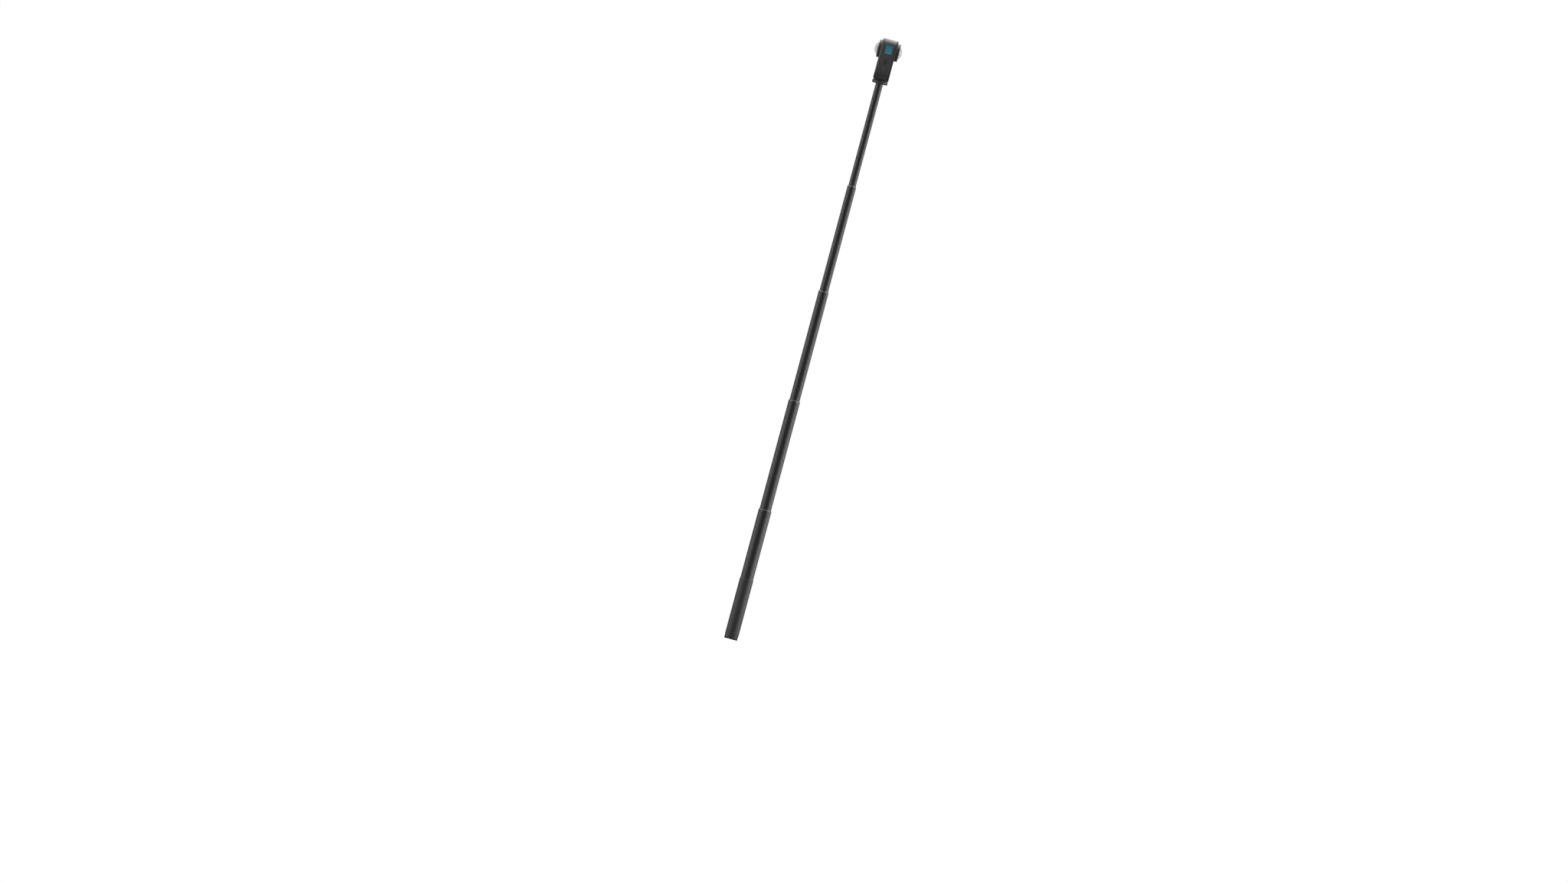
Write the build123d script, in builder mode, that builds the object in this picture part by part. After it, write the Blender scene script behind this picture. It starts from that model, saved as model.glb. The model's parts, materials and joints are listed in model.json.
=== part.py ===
"""Telescoping extension pole with a two-lens camera screwed to its head.

Five thin-walled tubes slide inside each other. Every tube but the last ends in a guide ring,
every tube but the first stands in a friction bush, and a lock wheel clamps the camera on the
stud at the top. Lengths are millimetres. The pole runs up +Z from its base end, and the
camera looks along +X and -X.
"""
from build123d import *
from math import asin, cos, sin, sqrt
import os

os.makedirs("parts", exist_ok=True)

# Fits
run_fit = 0.06            # radial clearance of a piece that slides or turns on another
seat_gap = 0.02           # glue line between pieces that stay together
free_gap = 0.3            # clearance around buttons and the door

# Telescoping tubes
section_count = 5
head_tube_d = 12.8        # thinnest tube, the one that carries the head
tube_wall = 0.8
slide_gap = 0.4           # from the bore of a tube to the next tube
shown_2 = 192.0           # length of each section that shows below the next rim
shown_3 = 192.0
shown_4 = 185.0
shown_5 = 180.0
base_tube_shown = 121.5   # from the top of the sleeve to the first rim

# Base end
grip_length = 38.0        # stretch of the sleeve that a clamp takes
sleeve_shown = 68.0
sleeve_wall = 0.65
cap_flange_h = 3.0
cap_plug_length = 7.5
cap_edge = 1.0
thread_r = 3.175          # quarter-inch camera thread, at its nominal radius
base_insert_r = 4.5
base_insert_length = 9.0
base_insert_sink = 0.4

# Guide rings and friction bushes
rim_h = 2.0
rim_chamfer = 0.4
ring_depth = 9.6
stop_gap = 0.3            # bush to ring when a section is drawn right out
bush_length = 14.0
bush_lip = 1.2
pin_r = 0.9
pin_sink = 0.1
pin_drop_1 = 7.0          # rim to pin
pin_drop_2 = 6.1
pin_drop_3 = 7.0
pin_drop_4 = 7.9

# Head of the pole
socket_flange_h = 1.2
socket_depth = 14.0
stud_reach = 6.0          # into the camera
stud_root = 12.0          # into the socket
stud_chamfer = 0.6
plug_length = 8.0
core_gap = 0.2
wheel_r = 13.4
wheel_h = 5.6
wheel_gap = 0.2
wheel_chamfer = 0.7
knurl_count = 36
knurl_depth = 0.5
knurl_cutter_r = 0.9      # centre to corner of the square that cuts a groove
pad_h = 0.8
pad_r = 12.4
pad_hole_r = 4.0

# Camera casing
camera_w = 64.0
camera_h = 70.0
camera_t = 27.0
camera_corner = 13.0
cover_t = 2.8             # rear cover, and the front cover's floor
front_rim_t = 3.8         # rim of the front cover, which is a shallow dish
front_edge = 3.2
rear_edge = 1.6
seam_bevel = 0.25         # round the covers where they meet the frame
side_wall = 4.0
end_wall = 2.5
cavity_corner = 10.0
seal_width = 0.9
seal_depth = 0.7
seal_inset = 0.9

# Lenses
lens_drop = 18.5          # top of the camera to the lens centre
lens_hole_r = 10.4
guard_r = 15.0
front_guard_h = 4.5
rear_guard_h = 5.4
guard_edge = 1.4
guard_bevel = 0.5
dome_r = 13.8
dome_skirt_r = 11.4
dome_wall = 1.2
dome_flange_r = 12.6
dome_flange_h = 1.0
dome_reach = 23.85        # from the camera's middle plane to the top of the dome
barrel_r = 9.6
barrel_neck_r = 8.8
barrel_neck = 4.5
barrel_step = 1.0         # from the cover's face in to the barrel's neck
element_r = 7.2
element_h = 3.0
bezel_h = 0.8
sensor_side = 20.0
sensor_t = 1.0
bracket_t = 2.4

# Battery, its bay and its door
battery_l = 34.8
battery_t = 13.0
battery_foot = 15.5       # above the camera's foot
battery_door_gap = 0.4    # inside the face that the door's seal sits on
bay_to_barrel = 2.9       # bay roof to the lens barrels
battery_edge = 1.5
bay_wall = 1.2
door_w = 15.4
door_t = 2.3
door_rise = 12.2          # door's upper edge above the bay
hinge_rise = 0.2          # hinge axis above the bay's floor
door_seal_t = 0.45
door_seal_band = 1.0
ledge_t = 1.2
hinge_pin_r = 0.6
hinge_pin_bite = 0.7
latch_w = 8.0
latch_h = 6.4
latch_t = 1.0
latch_rise = 2.6          # latch above the bay
latch_travel = 1.5
tongue_w = 4.0
tongue_t = 1.0
keeper_skin = 0.8
latch_rib = 0.5
latch_rib_pitch = 2.0
latch_rib_margin = 1.0    # rib's end to the latch's side

# Buttons
mode_w = 5.2
mode_h = 9.0
button_proud = 0.2
shutter_r = 5.5
button_lip = 1.0
button_lip_t = 1.2
button_travel = 0.6
cage_wall = 1.5
cage_depth = 5.5
cage_drop = 1.5           # under the lens bracket
switch_side = 4.0
switch_body = 1.5

# Screen, boards and small parts
screen_w = 46.0
screen_foot = 5.0
screen_drop = 5.5         # lens guard to the screen's upper edge
screen_t = 1.3
screen_corner = 3.0
screen_sink = 0.1
display_margin = 1.6
display_t = 2.4
board_margin = 3.0        # casing wall to the board's edge
board_foot = 8.0
board_t = 1.2
chip_w = 14.0
chip_h = 12.0
chip_t = 0.8
board_screw_r = 0.8
board_screw_head_r = 1.6
board_screw_head_h = 0.8
board_screw_back = 3.0     # from the bay's inner end
board_screw_front = 7.0    # from the wall with the door
board_screw_inset = 2.0    # from the bay's floor and roof
insert_r = 4.5
insert_depth = 8.2
boss_wall = 2.0
light_r = 1.1
light_inset = 10.0        # from the side of the casing
light_rise = 6.5          # above the lens centre
speaker_w = 12.0
speaker_h = 8.0
speaker_t = 1.4
speaker_inset = 7.0       # from the casing wall to its middle
speaker_drop = 4.5        # below the lens centre
grille_count = 9
grille_pitch = 4.0
grille_slot_w = 1.4
grille_margin = 1.0        # how much shorter each end is than the screen
grille_depth = 0.9
side_groove_x = 5.5
side_groove_w = 0.9
side_groove_h = 10.8
side_groove_height = 19.0
side_groove_depth = 0.45

# Places along the pole
tube_r = {n: head_tube_d / 2 + (tube_wall + slide_gap) * (section_count - n)
          for n in range(1, section_count + 1)}
shown_length = {2: shown_2, 3: shown_3, 4: shown_4, 5: shown_5}
pin_drop = {1: pin_drop_1, 2: pin_drop_2, 3: pin_drop_3, 4: pin_drop_4}
rim_z = {1: grip_length + sleeve_shown + base_tube_shown}
for n in range(2, section_count):
    rim_z[n] = rim_z[n - 1] + shown_length[n]
wheel_z = rim_z[section_count - 1] + shown_length[section_count]
camera_z = wheel_z + wheel_h + pad_h + wheel_gap
lens_z = camera_z + camera_h - lens_drop
camera_mid_z = camera_z + camera_h / 2
face_x = camera_t / 2
inner_x = face_x - cover_t            # inside of both covers
front_seam_x = face_x - front_rim_t   # where the front cover meets the frame
cavity_w = camera_w - 2 * side_wall
cavity_h = camera_h - 2 * end_wall
cavity_y = cavity_w / 2
screen_h = lens_z - guard_r - screen_drop - camera_z - screen_foot
screen_mid_z = camera_z + screen_foot + screen_h / 2


def bore_r(n):
    """Bore radius of tube n."""
    return tube_r[n] - tube_wall


def tube_foot(n):
    """Height of the lower end of tube n, drawn right out."""
    if n == 1:
        return cap_flange_h
    return rim_z[n - 1] - rim_h - ring_depth - stop_gap - bush_length


def tube_top(n):
    """Height of the upper end of tube n."""
    if n == section_count:
        return wheel_z - wheel_gap - socket_flange_h
    return rim_z[n] - rim_h


def pin_plane(n):
    """Plane across which the two pins of ring n stand: turned a quarter from ring to ring."""
    return Plane.XZ if n % 2 == 0 else Plane.YZ


# Base end: cap, thread insert and sleeve
with BuildPart() as base_end_cap:
    with BuildSketch(Plane.XY):
        Circle(tube_r[1] + sleeve_wall)
    extrude(amount=cap_flange_h)
    with BuildSketch(Plane.XY.offset(cap_flange_h)):
        Circle(bore_r(1) - seat_gap)
    extrude(amount=cap_plug_length)
    chamfer(base_end_cap.faces().sort_by(Axis.Z)[0].edges(), cap_edge)
    with BuildSketch(Plane.XY):
        Circle(base_insert_r + seat_gap)
    extrude(amount=base_insert_sink + base_insert_length, mode=Mode.SUBTRACT)
base_end_cap.part.label = "base_end_cap"
export_step(base_end_cap.part, "parts/base_end_cap.step")

with BuildPart() as base_thread_insert:
    with BuildSketch(Plane.XY.offset(base_insert_sink)):
        Circle(base_insert_r)
        Circle(thread_r, mode=Mode.SUBTRACT)
    extrude(amount=base_insert_length)
base_thread_insert.part.label = "base_thread_insert"
export_step(base_thread_insert.part, "parts/base_thread_insert.step")

with BuildPart() as base_sleeve:
    with BuildSketch(Plane.XY.offset(cap_flange_h)):
        Circle(tube_r[1] + sleeve_wall)
        Circle(tube_r[1] + seat_gap, mode=Mode.SUBTRACT)
    extrude(amount=grip_length + sleeve_shown - cap_flange_h)
    sleeve_top_edge = base_sleeve.faces().sort_by(Axis.Z)[-1].edges().sort_by(SortBy.LENGTH)[-1]
    chamfer(sleeve_top_edge, rim_chamfer)
base_sleeve.part.label = "base_sleeve"
export_step(base_sleeve.part, "parts/base_sleeve.step")

# Tubes, the first one fixed in the base
for n in range(1, section_count + 1):
    name = "base_tube" if n == 1 else f"tube_{n}"
    with BuildPart() as tube:
        with BuildSketch(Plane.XY.offset(tube_foot(n))):
            Circle(tube_r[n])
            Circle(bore_r(n), mode=Mode.SUBTRACT)
        extrude(amount=tube_top(n) - tube_foot(n))
        if n < section_count:
            with BuildSketch(pin_plane(n)):
                with Locations((0, rim_z[n] - pin_drop[n])):
                    Circle(pin_r + seat_gap)
            extrude(amount=tube_r[n] + tube_wall, both=True, mode=Mode.SUBTRACT)
    tube.part.label = name
    export_step(tube.part, f"parts/{name}.step")

# Guide rings in the upper ends, each held by two cross pins
for n in range(1, section_count):
    ring_bore = tube_r[n + 1] + run_fit
    ring_spigot = bore_r(n) - seat_gap
    ring_foot = rim_z[n] - rim_h - ring_depth
    with BuildPart() as guide_ring:
        with BuildSketch(Plane.XZ):
            with BuildLine():
                Polyline(
                    (ring_bore, ring_foot),
                    (ring_spigot, ring_foot),
                    (ring_spigot, rim_z[n] - rim_h),
                    (tube_r[n], rim_z[n] - rim_h),
                    (tube_r[n], rim_z[n] - rim_chamfer),
                    (tube_r[n] - rim_chamfer, rim_z[n]),
                    (ring_bore, rim_z[n]),
                    close=True,
                )
            make_face()
        revolve(axis=Axis.Z)
        with BuildSketch(pin_plane(n)):
            with Locations((0, rim_z[n] - pin_drop[n])):
                Circle(pin_r + seat_gap)
        extrude(amount=tube_r[n] + tube_wall, both=True, mode=Mode.SUBTRACT)
    guide_ring.part.label = f"guide_ring_{n}"
    export_step(guide_ring.part, f"parts/guide_ring_{n}.step")

    with BuildPart() as ring_pins:
        with BuildSketch(pin_plane(n).offset(ring_bore + run_fit)):
            with Locations((0, rim_z[n] - pin_drop[n])):
                Circle(pin_r)
        extrude(amount=tube_r[n] - pin_sink - ring_bore - run_fit)
        mirror(about=pin_plane(n))
    ring_pins.part.label = f"ring_pins_{n}"
    export_step(ring_pins.part, f"parts/ring_pins_{n}.step")

# Friction bushes on the lower ends
for n in range(2, section_count + 1):
    bush_r = bore_r(n - 1) - run_fit
    with BuildPart() as friction_bush:
        with BuildSketch(Plane.XZ):
            with BuildLine():
                Polyline(
                    (bore_r(n), tube_foot(n) - bush_lip),
                    (bush_r - rim_chamfer / 2, tube_foot(n) - bush_lip),
                    (bush_r, tube_foot(n) - bush_lip + rim_chamfer / 2),
                    (bush_r, tube_foot(n) + bush_length),
                    (tube_r[n] + seat_gap, tube_foot(n) + bush_length),
                    (tube_r[n] + seat_gap, tube_foot(n)),
                    (bore_r(n), tube_foot(n)),
                    close=True,
                )
            make_face()
        revolve(axis=Axis.Z)
    friction_bush.part.label = f"friction_bush_{n}"
    export_step(friction_bush.part, f"parts/friction_bush_{n}.step")

# Inside the thinnest tube: a sealing plug, a foam core and the socket of the head
head_bore = bore_r(section_count)
head_foot = tube_foot(section_count)
head_top = tube_top(section_count)

with BuildPart() as core_plug:
    with BuildSketch(Plane.XY.offset(head_foot)):
        Circle(head_bore - seat_gap)
    extrude(amount=plug_length)
core_plug.part.label = "core_plug"
export_step(core_plug.part, "parts/core_plug.step")

core_foot = head_foot + plug_length + core_gap
with BuildPart() as float_core:
    with BuildSketch(Plane.XY.offset(core_foot)):
        Circle(head_bore - core_gap)
    extrude(amount=head_top - socket_depth - core_gap - core_foot)
float_core.part.label = "float_core"
export_step(float_core.part, "parts/float_core.step")

stud_r = thread_r - run_fit
with BuildPart() as head_socket:
    with BuildSketch(Plane.XY.offset(head_top - socket_depth)):
        Circle(head_bore - seat_gap)
    extrude(amount=socket_depth)
    with BuildSketch(Plane.XY.offset(head_top)):
        Circle(tube_r[section_count])
    extrude(amount=socket_flange_h)
    chamfer(head_socket.faces().sort_by(Axis.Z)[-1].edges(), rim_chamfer)
    with BuildSketch(Plane.XY.offset(head_top + socket_flange_h)):
        Circle(stud_r + seat_gap)
    extrude(amount=-stud_root, mode=Mode.SUBTRACT)
head_socket.part.label = "head_socket"
export_step(head_socket.part, "parts/head_socket.step")

stud_foot = head_top + socket_flange_h - stud_root
with BuildPart() as tripod_stud:
    with BuildSketch(Plane.XY.offset(stud_foot)):
        Circle(stud_r)
    extrude(amount=camera_z + stud_reach - stud_foot)
    chamfer(tripod_stud.faces().sort_by(Axis.Z)[-1].edges(), stud_chamfer)
tripod_stud.part.label = "tripod_stud"
export_step(tripod_stud.part, "parts/tripod_stud.step")

# Knurled lock wheel and its rubber pad, which clamp the camera
with BuildPart() as lock_wheel:
    with BuildSketch(Plane.XY.offset(wheel_z)):
        Circle(wheel_r)
    extrude(amount=wheel_h)
    chamfer(lock_wheel.edges().filter_by(GeomType.CIRCLE), wheel_chamfer)
    with BuildSketch(Plane.XY.offset(wheel_z)):
        Circle(stud_r + run_fit)
        with PolarLocations(wheel_r - knurl_depth + knurl_cutter_r, knurl_count):
            RegularPolygon(knurl_cutter_r, 4)
    extrude(amount=wheel_h, mode=Mode.SUBTRACT)
lock_wheel.part.label = "lock_wheel"
export_step(lock_wheel.part, "parts/lock_wheel.step")

with BuildPart() as wheel_pad:
    with BuildSketch(Plane.XY.offset(wheel_z + wheel_h)):
        Circle(pad_r)
        Circle(pad_hole_r, mode=Mode.SUBTRACT)
    extrude(amount=pad_h)
wheel_pad.part.label = "wheel_pad"
export_step(wheel_pad.part, "parts/wheel_pad.step")

# Battery bay and door, worked out from the battery
bay_t = battery_t + 2 * free_gap
bay_foot = camera_z + battery_foot - free_gap
bay_h = lens_z - barrel_r - bay_to_barrel - bay_wall - bay_foot
bay_mid_z = bay_foot + bay_h / 2
bay_roof_z = bay_foot + bay_h + bay_wall
mode_z = bay_roof_z - cage_drop - cage_wall - free_gap - button_lip - mode_h / 2
battery_h = bay_h - 2 * free_gap
battery_y = cavity_y + ledge_t - battery_door_gap - battery_l
bay_y = battery_y - free_gap
door_y = camera_w / 2 - door_t
ledge_y = cavity_y + ledge_t
hinge_y = camera_w / 2 - door_t / 2
hinge_z = bay_foot + hinge_rise
door_head_z = bay_foot + bay_h + door_rise
tongue_y = door_y + free_gap / 2
latch_y = tongue_y + tongue_t
latch_foot_z = bay_foot + bay_h + latch_rise
latch_mid_z = latch_foot_z + latch_h / 2
slot_top_z = latch_foot_z + latch_h + latch_travel + free_gap

# Middle frame: the casing's rim, with the battery bay, button cage and thread boss inside
seal_planes = (Plane(origin=(-front_seam_x, 0, 0), x_dir=(0, 1, 0), z_dir=(1, 0, 0)),
               Plane(origin=(inner_x - seal_depth, 0, 0), x_dir=(0, 1, 0), z_dir=(1, 0, 0)))
with BuildPart() as mid_frame:
    with BuildSketch(Plane.YZ.offset(-front_seam_x)):
        with Locations((0, camera_mid_z)):
            RectangleRounded(camera_w, camera_h, camera_corner)
            RectangleRounded(cavity_w, cavity_h, cavity_corner, mode=Mode.SUBTRACT)
    extrude(amount=front_seam_x + inner_x)
    # Battery bay, a box on the +Y wall, and the button cage, a box on the -Y wall
    with BuildSketch(Plane.YZ.offset(-bay_t / 2 - bay_wall)):
        with Locations(((bay_y - bay_wall + cavity_y) / 2, bay_mid_z)):
            Rectangle(cavity_y - bay_y + bay_wall, bay_h + 2 * bay_wall)
    extrude(amount=bay_t + 2 * bay_wall)
    with BuildSketch(Plane.YZ.offset(-mode_w / 2 - button_lip - free_gap - cage_wall)):
        with Locations((-cavity_y + cage_depth / 2, mode_z)):
            Rectangle(cage_depth, mode_h + 2 * (button_lip + free_gap + cage_wall))
    extrude(amount=mode_w + 2 * (button_lip + free_gap + cage_wall))
    # Boss for the tripod insert
    with BuildSketch(Plane.XY.offset(camera_z)):
        Circle(insert_r + boss_wall)
    extrude(amount=insert_depth + boss_wall)
    with BuildSketch(Plane.XY.offset(camera_z)):
        Circle(insert_r + seat_gap)
    extrude(amount=insert_depth, mode=Mode.SUBTRACT)
    # Bay mouth and the stepped seat of the door
    with BuildSketch(Plane.XZ.offset(-bay_y)):
        with Locations((0, bay_mid_z)):
            Rectangle(bay_t, bay_h)
    extrude(amount=-(camera_w / 2 - bay_y), mode=Mode.SUBTRACT)
    recess_foot_z = hinge_z - door_t / 2 - free_gap
    with BuildSketch(Plane.XZ.offset(-ledge_y)):
        with Locations((0, (recess_foot_z + door_head_z + free_gap) / 2)):
            Rectangle(door_w + 2 * free_gap, door_head_z + free_gap - recess_foot_z)
    extrude(amount=-side_wall, mode=Mode.SUBTRACT)
    # Keeper slot for the latch tongue, and the holes of the hinge pin
    with BuildSketch(Plane.XY.offset(door_head_z)):
        with Locations((0, (ledge_y + camera_w / 2 - keeper_skin) / 2)):
            Rectangle(tongue_w + 2 * free_gap, camera_w / 2 - keeper_skin - ledge_y)
    extrude(amount=latch_travel + 2 * free_gap, mode=Mode.SUBTRACT)
    with BuildSketch(Plane.YZ):
        with Locations((hinge_y, hinge_z)):
            Circle(hinge_pin_r + seat_gap)
    extrude(amount=door_w / 2 + free_gap + hinge_pin_bite, both=True, mode=Mode.SUBTRACT)
    # Mode button's hole and the room behind it
    with BuildSketch(Plane.XZ.offset(camera_w / 2)):
        with Locations((0, mode_z)):
            SlotOverall(mode_h + 2 * free_gap, mode_w + 2 * free_gap, rotation=90)
    extrude(amount=-side_wall, mode=Mode.SUBTRACT)
    with BuildSketch(Plane.XZ.offset(cavity_y)):
        with Locations((0, mode_z)):
            Rectangle(mode_w + 2 * (button_lip + free_gap), mode_h + 2 * (button_lip + free_gap))
    extrude(amount=-(cage_depth - cage_wall), mode=Mode.SUBTRACT)
    # Shutter button's hole in the top wall
    with BuildSketch(Plane.XY.offset(camera_z + camera_h)):
        Circle(shutter_r + free_gap)
    extrude(amount=-end_wall, mode=Mode.SUBTRACT)
    # Two grip grooves on the marked side
    with BuildSketch(Plane.XZ.offset(camera_w / 2)):
        with Locations((-side_groove_x, camera_z + side_groove_height),
                       (side_groove_x, camera_z + side_groove_height)):
            SlotOverall(side_groove_h, side_groove_w, rotation=90)
    extrude(amount=-side_groove_depth, mode=Mode.SUBTRACT)
    # Seal grooves in both open faces
    with BuildSketch(*seal_planes):
        with Locations((0, camera_mid_z)):
            RectangleRounded(camera_w - 2 * seal_inset, camera_h - 2 * seal_inset,
                             camera_corner - seal_inset)
            RectangleRounded(camera_w - 2 * seal_inset - 2 * seal_width,
                             camera_h - 2 * seal_inset - 2 * seal_width,
                             camera_corner - seal_inset - seal_width, mode=Mode.SUBTRACT)
    extrude(amount=seal_depth, mode=Mode.SUBTRACT)
mid_frame.part.label = "mid_frame"
export_step(mid_frame.part, "parts/mid_frame.step")

with BuildPart() as cover_seals:
    with BuildSketch(*seal_planes):
        with Locations((0, camera_mid_z)):
            RectangleRounded(camera_w - 2 * seal_inset, camera_h - 2 * seal_inset,
                             camera_corner - seal_inset)
            RectangleRounded(camera_w - 2 * seal_inset - 2 * seal_width,
                             camera_h - 2 * seal_inset - 2 * seal_width,
                             camera_corner - seal_inset - seal_width, mode=Mode.SUBTRACT)
    extrude(amount=seal_depth)
cover_seals.part.label = "cover_seals"
export_step(cover_seals.part, "parts/cover_seals.step")

# Front cover, a shallow dish with a ribbed grille under its lens
with BuildPart() as front_cover:
    with BuildSketch(Plane.YZ.offset(-front_seam_x)):
        with Locations((0, camera_mid_z)):
            RectangleRounded(camera_w, camera_h, camera_corner)
    extrude(amount=-front_rim_t)
    fillet(front_cover.faces().sort_by(Axis.X)[0].edges(), front_edge)
    chamfer(front_cover.faces().sort_by(Axis.X)[-1].edges(), seam_bevel)
    with BuildSketch(Plane.YZ.offset(-front_seam_x)):
        with Locations((0, camera_mid_z)):
            RectangleRounded(cavity_w, cavity_h, cavity_corner)
    extrude(amount=-(front_rim_t - cover_t), mode=Mode.SUBTRACT)
    with BuildSketch(Plane.YZ.offset(-inner_x)):
        with Locations((0, lens_z)):
            Circle(lens_hole_r)
        with Locations((camera_w / 2 - light_inset, lens_z + light_rise)):
            Circle(light_r + seat_gap)
    extrude(amount=-cover_t, mode=Mode.SUBTRACT)
    with BuildSketch(Plane.YZ.offset(-face_x)):
        with Locations((0, screen_mid_z)):
            with GridLocations(grille_pitch, 0, grille_count, 1):
                SlotOverall(screen_h - 2 * grille_margin, grille_slot_w, rotation=90)
    extrude(amount=grille_depth, mode=Mode.SUBTRACT)
front_cover.part.label = "front_cover"
export_step(front_cover.part, "parts/front_cover.step")

# Rear cover with the screen's seat under its lens
with BuildPart() as rear_cover:
    with BuildSketch(Plane.YZ.offset(inner_x)):
        with Locations((0, camera_mid_z)):
            RectangleRounded(camera_w, camera_h, camera_corner)
    extrude(amount=cover_t)
    fillet(rear_cover.faces().sort_by(Axis.X)[-1].edges(), rear_edge)
    chamfer(rear_cover.faces().sort_by(Axis.X)[0].edges(), seam_bevel)
    with BuildSketch(Plane.YZ.offset(inner_x)):
        with Locations((0, lens_z)):
            Circle(lens_hole_r)
        with Locations((0, screen_mid_z)):
            Rectangle(screen_w - 2 * display_margin, screen_h - 2 * display_margin)
    extrude(amount=cover_t, mode=Mode.SUBTRACT)
    with BuildSketch(Plane.YZ.offset(face_x)):
        with Locations((0, screen_mid_z)):
            RectangleRounded(screen_w + 2 * seat_gap, screen_h + 2 * seat_gap, screen_corner)
    extrude(amount=-screen_t - screen_sink, mode=Mode.SUBTRACT)
rear_cover.part.label = "rear_cover"
export_step(rear_cover.part, "parts/rear_cover.step")

with BuildPart() as touch_screen:
    with BuildSketch(Plane.YZ.offset(face_x - screen_sink)):
        with Locations((0, screen_mid_z)):
            RectangleRounded(screen_w, screen_h, screen_corner)
    extrude(amount=-screen_t)
touch_screen.part.label = "touch_screen"
export_step(touch_screen.part, "parts/touch_screen.step")

with BuildPart() as display_panel:
    with BuildSketch(Plane.YZ.offset(face_x - screen_sink - screen_t)):
        with Locations((0, screen_mid_z)):
            Rectangle(screen_w - 2 * display_margin - 2 * free_gap,
                      screen_h - 2 * display_margin - 2 * free_gap)
    extrude(amount=-display_t)
display_panel.part.label = "display_panel"
export_step(display_panel.part, "parts/display_panel.step")

with BuildPart() as status_light:
    with BuildSketch(Plane.YZ.offset(-inner_x)):
        with Locations((camera_w / 2 - light_inset, lens_z + light_rise)):
            Circle(light_r)
    extrude(amount=-cover_t)
status_light.part.label = "status_light"
export_step(status_light.part, "parts/status_light.step")

# Two lens units, back to back on one bracket
lens_axis = Axis((0, 0, lens_z), (1, 0, 0))
dome_bore_r = dome_skirt_r - dome_wall
inner_dome_r = dome_r - dome_wall
sensor_x = bracket_t / 2 + sensor_t
neck_x = face_x - barrel_step
element_x = neck_x + barrel_neck
element_sphere_r = (element_r ** 2 + element_h ** 2) / (2 * element_h)
element_centre = element_x + element_h - element_sphere_r
dome_centre = dome_reach - dome_r
skirt_x = dome_centre + sqrt(dome_r ** 2 - dome_skirt_r ** 2)
bore_x = dome_centre + sqrt(inner_dome_r ** 2 - dome_bore_r ** 2)
dome_half_angle = asin(dome_skirt_r / dome_r) / 2
element_half_angle = asin(element_r / element_sphere_r) / 2


def on_arc(centre, radius, angle, side):
    """Point of a lens section in the XZ plane, at an angle to the lens axis."""
    return (side * (centre + radius * cos(angle)), lens_z + radius * sin(angle))


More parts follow.
